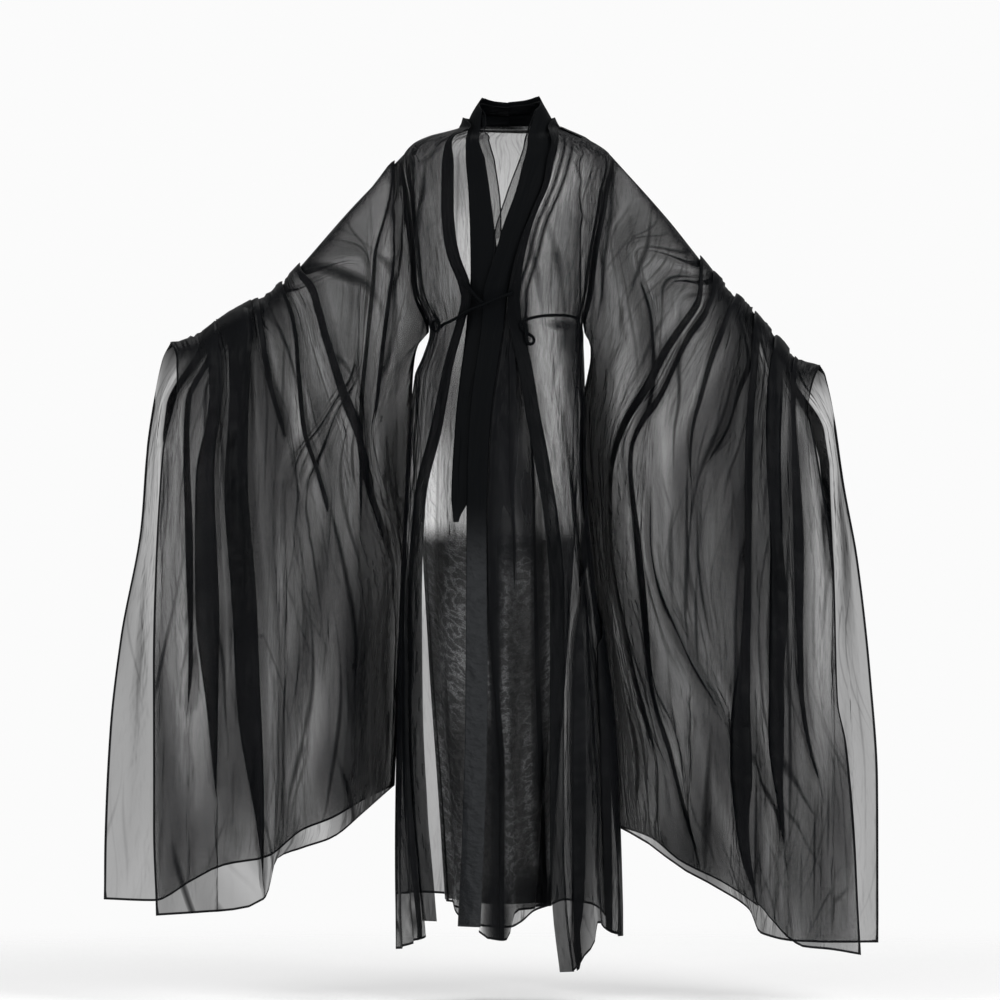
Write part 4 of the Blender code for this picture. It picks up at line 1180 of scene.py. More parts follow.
UV_APART = 1.37  # metres between the places of two pieces in the flat cloth, so that their folds differ
NO_CREASES = Table(CREASES, (0, 0, 1, 0, 0, 1, 0))
NO_GATHERS = Table(SPOTS, (0, 0, 1, 1, 0))


@dataclass(frozen=True)
class Gathers:
    """Where the cloth is bunched so closely that it looks like further layers.

    everywhere is what the small folds all over add. spots are bunched places, and streams run down from the
    piece's top: how many layers they add there, how broad they are and how far down they reach. humps is the
    height of the puffs along its top edge, which start beyond a distance out; banked is how many layers they
    add there and bank how far down. Beyond plain_beyond the cloth hangs smooth.
    """

    everywhere: float = 0.0
    spots: Table = NO_GATHERS
    streams: tuple[float, float, float] = (0.0, 0.02, 0.4)
    humps: float = 0.0
    humps_from: float = 0.0
    banked: float = 0.0
    bank: float = 0.062
    plain_beyond: float = 9.0

    def layers(self, seed: int, out: Array, drop: Array, across: Array, along: Array) -> Array:
        """Layers added at each point.

        Args:
            seed: Which streams they are.
            out: Distance out from the middle.
            drop: Drop below the origin.
            across: Place across the flat cloth.
            along: Distance from its top edge.

        Returns:
            How many layers of the same cloth it looks like, beyond its own.
        """
        dense = self.everywhere * (1 - ease_in((out - self.plain_beyond) / PLAIN_OVER))
        for level, near, tall, wide, layers in self.spots.rows():
            far = ((drop - level) / tall) ** 2 + ((out - near) / wide) ** 2
            dense = dense + layers * np.exp(-(far**SPOT_EDGE))
        amount, breadth, reach = self.streams
        broad, narrow = (along / length for length in STREAM_LENGTHS)
        stream = ease_in(wander(seed + 90, across / breadth, broad) * STREAM_CONTRAST + STREAM_FILL)
        fine = wander(seed + 91, across / breadth * NARROWER, narrow) * STREAM_CONTRAST
        stream = stream + NARROW_WEIGHT * ease_in(fine)
        beyond = ease_in((out - self.humps_from) / BANK_OVER)
        dense = dense + amount * stream * np.exp(-along / reach) * beyond
        return dense + self.banked * np.exp(-((along / self.bank) ** 2)) * beyond


@dataclass(frozen=True)
class Weaving:
    """How a surface's cloth is laid out as a grid whose columns follow its doubled folds.

    pleats come in order across the piece. gap is the spacing of the plain columns, and ripple the height,
    breadth and length of the small uneven folds all over it. crowd draws the rows up towards the top.
    """

    surface: Surface
    rows: int
    gap: float
    pleats: tuple[Pleat, ...] = ()
    creases: Table = NO_CREASES
    edges: Edges = Edges()
    ripple: tuple[float, float, float] = (0.0, 0.02, 0.3)
    gathers: Gathers = Gathers()
    seed: int = 1
    crowd: float = 1.0

    def downs(self) -> Array:
        """The share down the piece of each row, closer at the top and beside the hem.

        Returns:
            The shares.
        """
        rows = np.linspace(0, 1, self.rows) ** self.crowd
        if self.edges.bottom:
            rows[-2] = 1 - self.edges.bottom / USUAL_LENGTH
        return rows

    def pleat_knots(self, out: Array, drop: Array, run: Array) -> list[tuple[Array, Array, Array]]:
        """Where the pleats lie, each as near its course as the ones before it leave room for.

        Args:
            out: Distance of each fine place out from the middle.
            drop: Its drop.
            run: Its distance along its row.

        Returns:
            Where each pleat starts and ends along every row, and its width there.
        """
        knots = []
        total = run[:, -1]
        row = np.arange(len(run))
        last = np.zeros(len(run))
        for n, pleat in enumerate(self.pleats):
            miss = out - pleat.course.at("out", drop)
            place = np.clip(np.abs(miss).argmin(1), 1, run.shape[1] - 2)
            ahead, behind = place + 1, place - 1
            slope = (miss[row, ahead] - miss[row, behind]) / (run[row, ahead] - run[row, behind])
            slope = np.where(np.abs(slope) < LEAST_SLOPE, LEAST_SLOPE * np.sign(slope + 1e-9), slope)
            centre = run[row, place] - miss[row, place] / slope
            padded = np.pad(centre - total, COURSE_EVENED, mode="edge")
            evening = 2 * COURSE_EVENED + 1
            centre = np.convolve(padded, np.ones(evening) / evening, mode="valid") + total
            width = pleat.course.at("width", drop[row, place])
            half = PLEAT_HALF * width + PLEAT_SPARE
            room = total - PLEAT_ROOM * (len(self.pleats) - n)
            centre = np.minimum(np.maximum(centre, last + half + PLEATS_APART), room - half)
            knots.append((centre - half, centre + half, width))
            last = centre + half
        return knots

    def columns(self, counts: list[int] | None = None) -> Columns:
        """Lays out the columns.

        Args:
            counts: The number of plain columns between the pleats, or None to choose it by gap.

        Returns:
            The columns.
        """
        fine = np.linspace(0, 1, FINE)
        downs = self.downs()
        base = self.surface.point(fine[None], downs[:, None])
        run = run_along(base, 1)
        out, drop = self.surface.side.value * base[..., 0], -base[..., 2]
        knots = self.pleat_knots(out, drop, run)
        total = run[:, -1]
        ends = [np.zeros(len(downs))]
        for start, end, _ in knots:
            ends += [start, end]
        ends.append(total)
        if counts is None:
            counts = [max(2, math.ceil((b - a).mean() / self.gap)) for a, b in zip(ends[::2], ends[1::2])]
        flat, laid, marks = [], [], []
        for n, (a, b) in enumerate(zip(ends, ends[1:])):
            doubled = n % 2 == 1
            count = PLEAT_COLUMNS if doubled else counts[n // 2]
            t = np.arange(count) / count
            place = a[:, None] + (b - a)[:, None] * t
            flat.append(place)
            if doubled:
                width = knots[n // 2][2]
                full = ease_in(width / FULL_PLEAT)
                reach = full * (width / 2 + (b - a) / 4)
                place = place + reach[:, None] * np.sin(2 * math.pi * t)
                marks.append((sum(f.shape[1] for f in flat[:-1]), full, b))
            laid.append(place)
        flat.append(total[:, None])
        laid.append(total[:, None])
        flat, laid = np.concatenate(flat, axis=1), np.concatenate(laid, axis=1)
        if self.edges.end:
            for grid in (flat, laid):
                grid[:, -2] = np.maximum(grid[:, -1] - self.edges.end, (grid[:, -3] + grid[:, -1]) / 2)
        lift, pressed = np.zeros_like(flat), np.zeros_like(flat)
        number = np.arange(flat.shape[1])
        for (first, full, end), pleat in zip(marks, self.pleats):
            t = (number - first) / PLEAT_COLUMNS
            rise = ease_in((t - LAYER_STARTS) / LAYER_RISES)
            settle = 1 - ease_in((flat - end[:, None]) / RECOVER)
            lift += pleat.proud * full[:, None] * rise[None] * settle
            pressed[:, first : first + PLEAT_COLUMNS] = full[:, None]
        share = np.stack([np.interp(a, b, fine) for a, b in zip(laid, run)])
        return Columns(share, flat, lift, pressed, total, counts)

    def lay(self, columns: Columns) -> Laid:
        """Sets the grid's points on the surface, with its folds and creases.

        Args:
            columns: The piece's columns.

        Returns:
            The laid grid.
        """
        share, flat, lift, total = columns.share, columns.flat, columns.lift, columns.total
        downs = self.downs()[:, None]
        small = 1e-3
        point = self.surface.point
        base = point(share, downs)
        across = point(np.minimum(share + small, 1), downs) - point(np.maximum(share - small, 0), downs)
        along = point(share, np.minimum(downs + small, 1)) - point(share, np.maximum(downs - small, 0))
        normal = unit(np.cross(across, along))
        if (normal * self.surface.outward(base)).sum(-1).mean() < 0:
            normal = -normal
        out, drop = self.surface.side.value * base[..., 0], -base[..., 2]
        length = run_along(base, 0)
        height, breadth, reach = self.ripple
        u = np.broadcast_to(flat.mean(axis=0), flat.shape)
        grown = ease_in(length / RIPPLES_FROM) * ease_in((length[-1] - length) / RIPPLES_TO)
        bent = wander(self.seed + 50, u / BENDS[0], length / BENDS[1]) * BENT
        lift = lift + crease_lift(self.creases, out, drop)
        lift = lift + height * grown * wander(self.seed, u / breadth + bent, length / reach)
        sides = (self.edges.start, flat), (self.edges.end, total[:, None] - flat)
        for width, away in sides:
            if width != self.edges.bottom:
                lift = lift * ease_in(away / SEAM_HELD)
        if self.gathers.humps:
            puffs = np.abs(wander(7, u / PUFFS[0], length / PUFFS[1])) * np.exp(-length / PUFFS_REACH)
            lift = lift + self.gathers.humps * puffs * ease_in((out - self.gathers.humps_from) / PUFFS_OVER)
        hem = np.full(flat.shape, BEYOND_HEMS)
        for width, away in (*sides, (self.edges.top, length), (self.edges.bottom, length[-1] - length)):
            if width:
                hem = np.minimum(hem, away / width)
        dense = self.gathers.layers(self.seed, out, drop, u, length) + PRESSED * columns.doubled
        return Laid(base + normal * lift[..., None], u + UV_APART * self.seed, length, hem, dense)


def crease_lift(creases: Table, out: Array, drop: Array) -> Array:
    """Height of the soft creases at each point.

    Args:
        creases: Each crease's two ends by drop and out, how far it bows, its half width and its height.
        out: Distance of each point out from the middle.
        drop: Drop of each point.

    Returns:
        The sum of the creases, each faded at its ends.
    """
    lift = np.zeros_like(out)
    for top, near, bottom, far, bow, width, depth in creases.rows():
        dx, dz = far - near, bottom - top
        length = math.hypot(dx, dz)
        t = ((out - near) * dx + (drop - top) * dz) / length**2
        off = ((out - near) * dz - (drop - top) * dx) / length - bow * 4 * t * (1 - t)
        faded = ease_in(t / ENDS_FADE[0]) * ease_in((1 - t) / ENDS_FADE[1])
        lift += depth * np.exp(-((off / width) ** 2)) * faded
    return lift


def add_object(name: str, data: bpy.types.ID) -> bpy.types.Object:
    """Adds an object to the scene.

    Args:
        name: Its name.
        data: What it shows.

    Returns:
        The object.
    """
    thing = bpy.data.objects.new(name, data)
    bpy.context.scene.collection.objects.link(thing)
    return thing


CLOTH_WALL, BAND_WALL = 0.0005, 0.0012  # thickness of the robes' cloth, and of bands and collars


@dataclass
class ClothMesh:
    """A piece of cloth made from one or more laid grids, with a thin closed wall."""

    name: str
    wall: float = CLOTH_WALL
    grids: list[Laid] = field(default_factory=list)

    def add(self, laid: Laid) -> "ClothMesh":
        """Adds a grid, which joins the others where their points meet."""
        self.grids.append(laid)
        return self

    def points(self) -> Array:
        """The points of all grids."""
        return np.concatenate([laid.points.reshape(-1, 3) for laid in self.grids])

    def faces(self) -> Array:
        """The quads of all grids.

        Returns:
            The numbers of each one's four points.
        """
        quads, first = [], 0
        for laid in self.grids:
            rows, columns = laid.points.shape[:2]
            number = first + np.arange(rows * columns).reshape(rows, columns)
            corners = (number[:-1, :-1], number[1:, :-1], number[1:, 1:], number[:-1, 1:])
            quads.append(np.stack(corners, axis=-1).reshape(-1, 4))
            first += rows * columns
        return np.concatenate(quads)

    def area(self) -> float:
        """One side's area, in square metres."""
        a, b, c, d = self.points()[self.faces().T]
        return float(np.linalg.norm(np.cross(c - a, d - b), axis=1).sum() / 2)

    def build(self) -> bpy.types.Object:
        """Makes the piece's object, with its UV map in metres, its hem distances and its wall.

        Returns:
            The object.
        """
        across, along, hem, dense = (
            np.concatenate([getattr(laid, k).ravel() for laid in self.grids])
            for k in ("across", "along", "hem", "dense")
        )
        faces = self.faces()
        mesh = bpy.data.meshes.new(self.name)
        mesh.from_pydata(self.points().tolist(), [], faces.tolist())
        for name, values in (("hem", hem), ("dense", dense)):
            mesh.attributes.new(name, "FLOAT", "POINT").data.foreach_set("value", values.astype(np.float32))
        layer = mesh.uv_layers.new(name="cloth")
        corners = faces.reshape(-1)
        places = np.stack([across[corners], along[corners]], 1)
        layer.data.foreach_set("uv", places.astype(np.float32).ravel())
        bm = bmesh.new()
        bm.from_mesh(mesh)
        bmesh.ops.remove_doubles(bm, verts=bm.verts, dist=2e-5)
        bmesh.ops.recalc_face_normals(bm, faces=bm.faces)
        bm.to_mesh(mesh)
        bm.free()
        mesh.shade_smooth()
        piece = add_object(self.name, mesh)
        solid = piece.modifiers.new("wall", "SOLIDIFY")
        solid.thickness = self.wall
        solid.offset = 0.0
        return piece


@dataclass(frozen=True, eq=False)
class Socket:
    """One value in a node tree. Arithmetic on it adds the nodes that work it out."""

    maker: "NodeMaker"
    socket: bpy.types.NodeSocket

    def math(self, operation: str, *others: "Socket | float") -> "Socket":
        """A Math node on this value and the others."""
        return self.maker.make("ShaderNodeMath", {"operation": operation}, self, *others)

    def reflected(self, operation: str, other: float) -> "Socket":
        """A Math node with a plain value before this one."""
        return self.maker.make("ShaderNodeMath", {"operation": operation}, other, self)

    def __add__(self, other: "Socket | float") -> "Socket":
        """Sum."""
        return self.math("ADD", other)

    def __radd__(self, other: float) -> "Socket":
        """Sum, with the plain value first."""
        return self.reflected("ADD", other)

    def __sub__(self, other: "Socket | float") -> "Socket":
        """Difference."""
        return self.math("SUBTRACT", other)

    def __rsub__(self, other: float) -> "Socket":
        """Difference, with the plain value first."""
        return self.reflected("SUBTRACT", other)

    def __mul__(self, other: "Socket | float") -> "Socket":
        """Product."""
        return self.math("MULTIPLY", other)

    def __truediv__(self, other: "Socket | float") -> "Socket":
        """Quotient."""
        return self.math("DIVIDE", other)

    def __rtruediv__(self, other: float) -> "Socket":
        """Quotient, with the plain value first."""
        return self.reflected("DIVIDE", other)

    def __rpow__(self, other: float) -> "Socket":
        """A plain value to this power."""
        return self.reflected("POWER", other)

    def between(self, low: float, high: float, first: float = 0.0, last: float = 1.0) -> "Socket":
        """Goes smoothly from first to last as this value goes from low to high."""
        settings = {"interpolation_type": "SMOOTHSTEP"}
        return self.maker.make("ShaderNodeMapRange", settings, self, low, high, first, last)


class NodeMaker:
    """Makes and links the nodes of one tree."""

    def __init__(self, tree: bpy.types.NodeTree) -> None:
        """Starts with the tree empty."""
        self.tree = tree
        tree.nodes.clear()

    def make(
        self,
        kind: str,
        settings: dict[str, Any] | None = None,
        *values: Any,
        inputs: dict[int | str, Any] | None = None,
        output: int | str = 0,
    ) -> Socket:
        """Makes one node: its settings first, then its inputs.

        Args:
            kind: The node's type.
            settings: Its settings.
            *values: Its first inputs, in order, each a Socket or a plain value.
            inputs: Further inputs by name or number.
            output: Which output to hand back.

        Returns:
            The output.
        """
        node = self.tree.nodes.new(kind)
        for key, value in (settings or {}).items():
            setattr(node, key, value)
        for slot, value in [*enumerate(values), *(inputs or {}).items()]:
            if isinstance(value, Socket):
                self.tree.links.new(value.socket, node.inputs[slot])
            else:
                node.inputs[slot].default_value = value
        return Socket(self, node.outputs[output])

    def noise(self, place: Socket, stretch: tuple[float, float, float], detail: float = 2.0) -> Socket:
        """Noise from 0 to 1, with stretch features a metre along each axis and detail finer octaves."""
        scaled = self.make("ShaderNodeVectorMath", {"operation": "MULTIPLY"}, place, stretch)
        return self.make("ShaderNodeTexNoise", inputs={"Vector": scaled, "Scale": 1.0, "Detail": detail})

    def mixed(self, share: Socket, first: Colour, last: Colour) -> Socket:
        """A colour between two, by a share from 0 to 1."""
        ends = {0: share, 6: (*first, 1.0), 7: (*last, 1.0)}
        return self.make("ShaderNodeMix", {"data_type": "RGBA"}, inputs=ends, output=2)

    def parts(self, place: Socket) -> list[Socket]:
        """A place's X, Y and Z."""
        split = self.make("ShaderNodeSeparateXYZ", None, place).socket.node
        return [Socket(self, output) for output in split.outputs]

    def show(self, shader: Socket, kind: str = "ShaderNodeOutputMaterial") -> None:
        """Makes the tree's output and gives it the shader."""
        self.tree.links.new(shader.socket, self.tree.nodes.new(kind).inputs["Surface"])

    def bump(self, height: Socket, distance: float) -> Socket:
        """A normal bent by a height, where distance is what one unit of it is in metres."""
        return self.make("ShaderNodeBump", inputs={"Height": height, "Distance": distance})


@dataclass(frozen=True)
class Finish:
    """A cloth's look: its slot, its colours, roughness and shine."""

    name: str
    slot: str
    dark: Colour
    light: Colour
    roughness: float
    shine: float

    def varying(self, cloth: Socket) -> dict[str, Socket]:
        """The inputs that change over the cloth. Each kind of finish gives its own."""
        raise NotImplementedError

    def material(self) -> bpy.types.Material:
        """Makes the finish's nodes.

        Returns:
            The material.
        """
        material = bpy.data.materials.new(self.name)
        material.use_nodes = True
        maker = NodeMaker(material.node_tree)
        cloth = maker.make("ShaderNodeUVMap", {"uv_map": "cloth"})
        tint = maker.mixed(maker.noise(cloth, (14.0, 2.5, 1.0), 4.0).between(0.3, 0.7), self.dark, self.light)
        inputs = {
            "Base Color": tint,
            "Roughness": self.roughness,
            "Specular IOR Level": self.shine,
            **self.varying(cloth),
        }
        maker.show(maker.make("ShaderNodeBsdfPrincipled", inputs=inputs))
        return material


ONE_LAYER = 0.41  # the share of the light that one layer of organza lets through
MOST_LIGHT = 0.97  # the most that any cloth lets through
LEAST_FACING = 0.14  # where cloth is seen edge on, how far it is taken to face the eye
HEM_ENDS = (0.85, 1.1)  # hem widths between which a hem fades out
FOLDS_A_METRE, FAINT = (34.0, 72.0), 0.4  # of strong and of faint sharp folds, and how much weaker those are
OWN_NOISE = 7.31  # noise features from one sharp fold's own noise to the next one's


@dataclass(frozen=True)
class Sheer(Finish):
    """A sheer cloth: light passes between its threads, less where it is seen aslant, folded or hemmed.

    lines and soft are how many layers its sharp small folds and the soft ones between them seem to add.
    """

    through: float = ONE_LAYER
    hem_through: float = 0.02
    crinkle: float = 0.0006
    lines: float = 2.6
    soft: float = 2.8

    def strokes(self, across: Socket, along: Socket, crowd: float) -> Socket:
        """Thin folds that run down the cloth, each one tapering where it comes and goes.

        Args:
            across: Place across the cloth, in metres.
            along: Place down the cloth, in metres.
            crowd: How many folds could stand in a metre.

        Returns:
            How sharp the fold is at each point, from 0 to 1.
        """
        maker = across.maker
        turns = across * crowd
        number = turns.math("FLOOR")
        own = maker.make("ShaderNodeCombineXYZ", None, number * OWN_NOISE, along)
        strong = maker.noise(own, (1.0, 2.3, 1.0), 1.0).between(0.48, 0.68)
        drift = (maker.noise(own, (1.7, 1.6, 1.0), 0.0) - 0.5) * 0.8
        aside = (turns - number - 0.5 - drift).math("ABSOLUTE")
        return (1 - aside / (strong * 0.17 + 0.02)).math("MAXIMUM", 0.0) * strong

    def folds(self, cloth: Socket) -> Socket:
        """Layers added by the small sharp folds that wander over the cloth, and by soft ones between them.

        Args:
            cloth: Each point's place in the flat cloth, in metres.

        Returns:
            The layers added, or taken off where the cloth is smoothest.
        """
        maker = cloth.maker
        across, along, _ = maker.parts(cloth)
        bend = (maker.noise(cloth, (1.2, 1.5, 1.0), 0.0) - 0.5) * 0.30
        other = (maker.noise(cloth, (1.1, 2.0, 1.0), 0.0) - 0.5) * 0.28
        bent = maker.make("ShaderNodeCombineXYZ", None, across + bend, along)
        broad = maker.noise(bent, (15.0, 1.8, 1.0), 1.0)
        strong, faint = FOLDS_A_METRE
        lines = self.strokes(across + bend, along, strong)
        lines = lines + self.strokes(across - other, along, faint) * FAINT
        return lines * broad.between(0.30, 0.56) * self.lines + (broad - 0.5) * self.soft

    def cover(self, cloth: Socket, normal: Socket) -> Socket:
        """How much of the light one layer stops.

        Args:
            cloth: Each point's place in the flat cloth, in metres.
            normal: The bent normal.

        Returns:
            The share, from 0 to 1.
        """
        maker = cloth.maker
        weight = {"Blend": 0.5, "Normal": normal}
        slant = 1 - maker.make("ShaderNodeLayerWeight", inputs=weight, output="Facing")
        layers = maker.make("ShaderNodeAttribute", {"attribute_name": "dense"}, output="Fac")
        layers = layers + self.folds(cloth) * layers.between(0.0, 0.3, 0.25, 1.0)
        bare = self.through ** (1 / slant.math("MAXIMUM", LEAST_FACING)) * (ONE_LAYER**layers)
        edge = maker.make("ShaderNodeAttribute", {"attribute_name": "hem"}, output="Fac").between(*HEM_ENDS)
        passed = bare.math("MINIMUM", MOST_LIGHT) * (self.hem_through + edge * (1 - self.hem_through))
        behind = maker.make("ShaderNodeNewGeometry", output="Backfacing")
        return (1 - passed) * (1 - behind)

    def varying(self, cloth: Socket) -> dict[str, Socket]:
        """The inputs that change over the cloth: its normal and how sheer it is.

        Args:
            cloth: Each point's place in the flat cloth, in metres.

        Returns:
            A value for each input.
        """
        maker = cloth.maker
        crumple = maker.noise(cloth, (60.0, 14.0, 1.0), 2.0)
        normal = maker.bump(crumple, self.crinkle * 16)
        return {"Normal": normal, "Alpha": self.cover(cloth, normal)}


@dataclass(frozen=True)
class Crinkled(Sheer):
    """A crinkled satin, sheer at the top and dense below, its colour painted with glints along its crinkles.
    """

    dense_from: float = -0.730
    dense_to: float = -0.790

    def varying(self, cloth: Socket) -> dict[str, Socket]:
        """The inputs that change over the cloth: its crinkles, its painted glints, and where it turns dense.

        Args:
            cloth: Each point's place in the flat cloth, in metres.

        Returns:
            A value for each input.
        """
        maker = cloth.maker
        height = maker.parts(maker.make("ShaderNodeTexCoord", output="Object"))[2]
        crush = maker.noise(cloth, (38.0, 50.0, 1.0), 4.0)
        # Painted glints: shine, the colour's share of light, is high along the crinkles' ridges, in bands and
        # in fine sparkles.
        ridge = (crush - 0.5).math("ABSOLUTE").between(0.0, 0.08, 1.0, 0.0)
        where = maker.noise(cloth, (24.0, 2.6, 1.0), 1.0).between(0.40, 0.66)
        painted_sparkle = maker.noise(cloth, (420.0, 520.0, 1.0), 1.0).between(0.42, 0.70)
        shine = (ridge * 0.75 + 0.25) * (where * 0.88 + 0.12) * (painted_sparkle * 0.7 + 0.3)
        normal = maker.bump(crush, self.crinkle * 10)
        dense = height.between(self.dense_to, self.dense_from, 0.97, 0.0)
        behind = maker.make("ShaderNodeNewGeometry", output="Backfacing")
        shown = self.cover(cloth, normal).math("MAXIMUM", dense * (1 - behind))
        # The colour goes from dark to the light of the painted glints by shine.
        tint = maker.mixed(shine, self.dark, self.light)
        rough = self.roughness - shine * 0.25
        return {"Base Color": tint, "Normal": normal, "Alpha": shown, "Roughness": rough}


@dataclass(frozen=True)
class Banding(Finish):
    """A close cloth, plain above; crinkled, glossy and lightened with painted glints towards the hem."""

    plain_above: float = -0.70
    # Below this drop the cloth is fully glossy and its colour fully lightened with painted glints.
    gloss_and_painted_glints_below: float = -0.86

    def varying(self, cloth: Socket) -> dict[str, Socket]:
        """The inputs that change over the cloth: its crinkles, its gloss and the painted glints of its
        colour.

        Args:
            cloth: Each point's place in the flat cloth, in metres.

        Returns:
            A value for each input.
        """
        maker = cloth.maker
        height = maker.parts(maker.make("ShaderNodeTexCoord", output="Object"))[2]
        low = height.between(self.gloss_and_painted_glints_below, self.plain_above, 1.0, 0.0)
        crush = maker.noise(cloth, (44.0, 52.0, 1.0), 4.0) * low
        crush = crush + maker.noise(cloth, (70.0, 9.0, 1.0), 2.0) * 0.25
        # Painted glints: towards the hem the colour turns lighter and follows the crinkles.
        tint = maker.mixed(low * (0.5 + crush * 0.5), self.dark, self.light)
        return {
            "Base Color": tint,
            "Normal": maker.bump(crush, 0.014),
            "Coat Weight": low * 0.2,
            "Roughness": self.roughness - low * 0.26,
        }


ORGANZA = Sheer(
    "black_organza", "organza", dark=(0.0012, 0.0015, 0.0019), light=(0.0035, 0.0038, 0.0046),
    roughness=0.45, shine=0.05,
)
INNER_ORGANZA = replace(ORGANZA, name="black_inner_organza", through=0.93, lines=0.5, soft=0.4)
# The satin's light colour is that of its painted glints.
SATIN = Crinkled(
    "black_crinkled_satin", "satin", dark=(0.004, 0.0044, 0.0048), light=(0.420, 0.428, 0.440),
    roughness=0.50, shine=0.4, through=0.92, crinkle=0.0012, lines=0.0, soft=0.0,
)
# The band's light colour is that of the painted glints towards its hem.
BAND = Banding(
    "black_band_cloth", "band", dark=(0.0010, 0.0014, 0.0019), light=(0.021, 0.0225, 0.0245),
    roughness=0.62, shine=0.05,
)
SOFT_BAND = Sheer(
    "black_soft_band", "band", dark=(0.0010, 0.0013, 0.0017), light=(0.003, 0.0034, 0.004),
    roughness=0.55, shine=0.04, lines=0.9, soft=1.0,
)


@dataclass
class Piece:
    """A cloth piece of the robe that stands for one solid. share is how much of its flat size it fills."""

    node: str
    finish: Finish
    flat: tuple[float, float]
    held: str = "draped"
    rests_on: tuple[str, ...] = ("inner_back_cloth",)
    share: float = 1.0

    def mesh(self) -> ClothMesh:
        """The piece's laid cloth. Each kind of piece gives its own."""
        raise NotImplementedError

    def build(self, material: bpy.types.Material) -> bpy.types.Object:
        """Makes the piece and gives it its finish.

        Args:
            material: Its material.

        Returns:
            The piece.
        """
        mesh = self.mesh()
        piece = mesh.build()
        piece.data.materials.append(material)
        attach(piece, "root")
        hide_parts(self.node)
        cut = {} if self.share >= 1 else {"area": self.flat[0] * self.flat[1] * self.share}
        LOG.info("%s: %d faces, %.3f m2 of cloth", piece.name, len(piece.data.polygons), mesh.area())
        return piece


@dataclass
class Panel(Piece):
    """A front, back, band, collar or strip, of one grid."""

    weaving: Weaving | None = None
    wall: float = CLOTH_WALL

    def mesh(self) -> ClothMesh:
        """The panel's laid cloth."""
        return ClothMesh(self.node + "_cloth", self.wall).add(self.weaving.lay(self.weaving.columns()))


@dataclass
class Sleeve(Piece):
    """A wide sleeve: its front and back leaves, joined over the arm and beside the body."""

    front: Weaving | None = None
    back: Weaving | None = None

    def leaves(self) -> tuple[Laid, Laid]:
        """Lays both leaves, with the back one's columns led to meet the front one's over the arm.

        Returns:
            The front leaf and the back leaf.
        """
        near = self.front.columns()
        far = self.back.columns(near.counts)
        away = ease_in(self.front.downs() / LEAVES_PART)[:, None]
        for name in ("share", "flat", "lift"):
            setattr(far, name, getattr(far, name) * away + getattr(near, name)[:1] * (1 - away))
        front, back = self.front.lay(near), self.back.lay(far)
        ridge = (front.points[0] + back.points[0]) / 2
        front.points[0] = back.points[0] = ridge
        under = self.front.downs() >= FOLD_ROW
        back.points[under, 0] = front.points[under, 0]
        return front, back

    def mesh(self) -> ClothMesh:
        """The sleeve's laid cloth."""
        front, back = self.leaves()
        return ClothMesh(self.node + "_cloth").add(front).add(back)


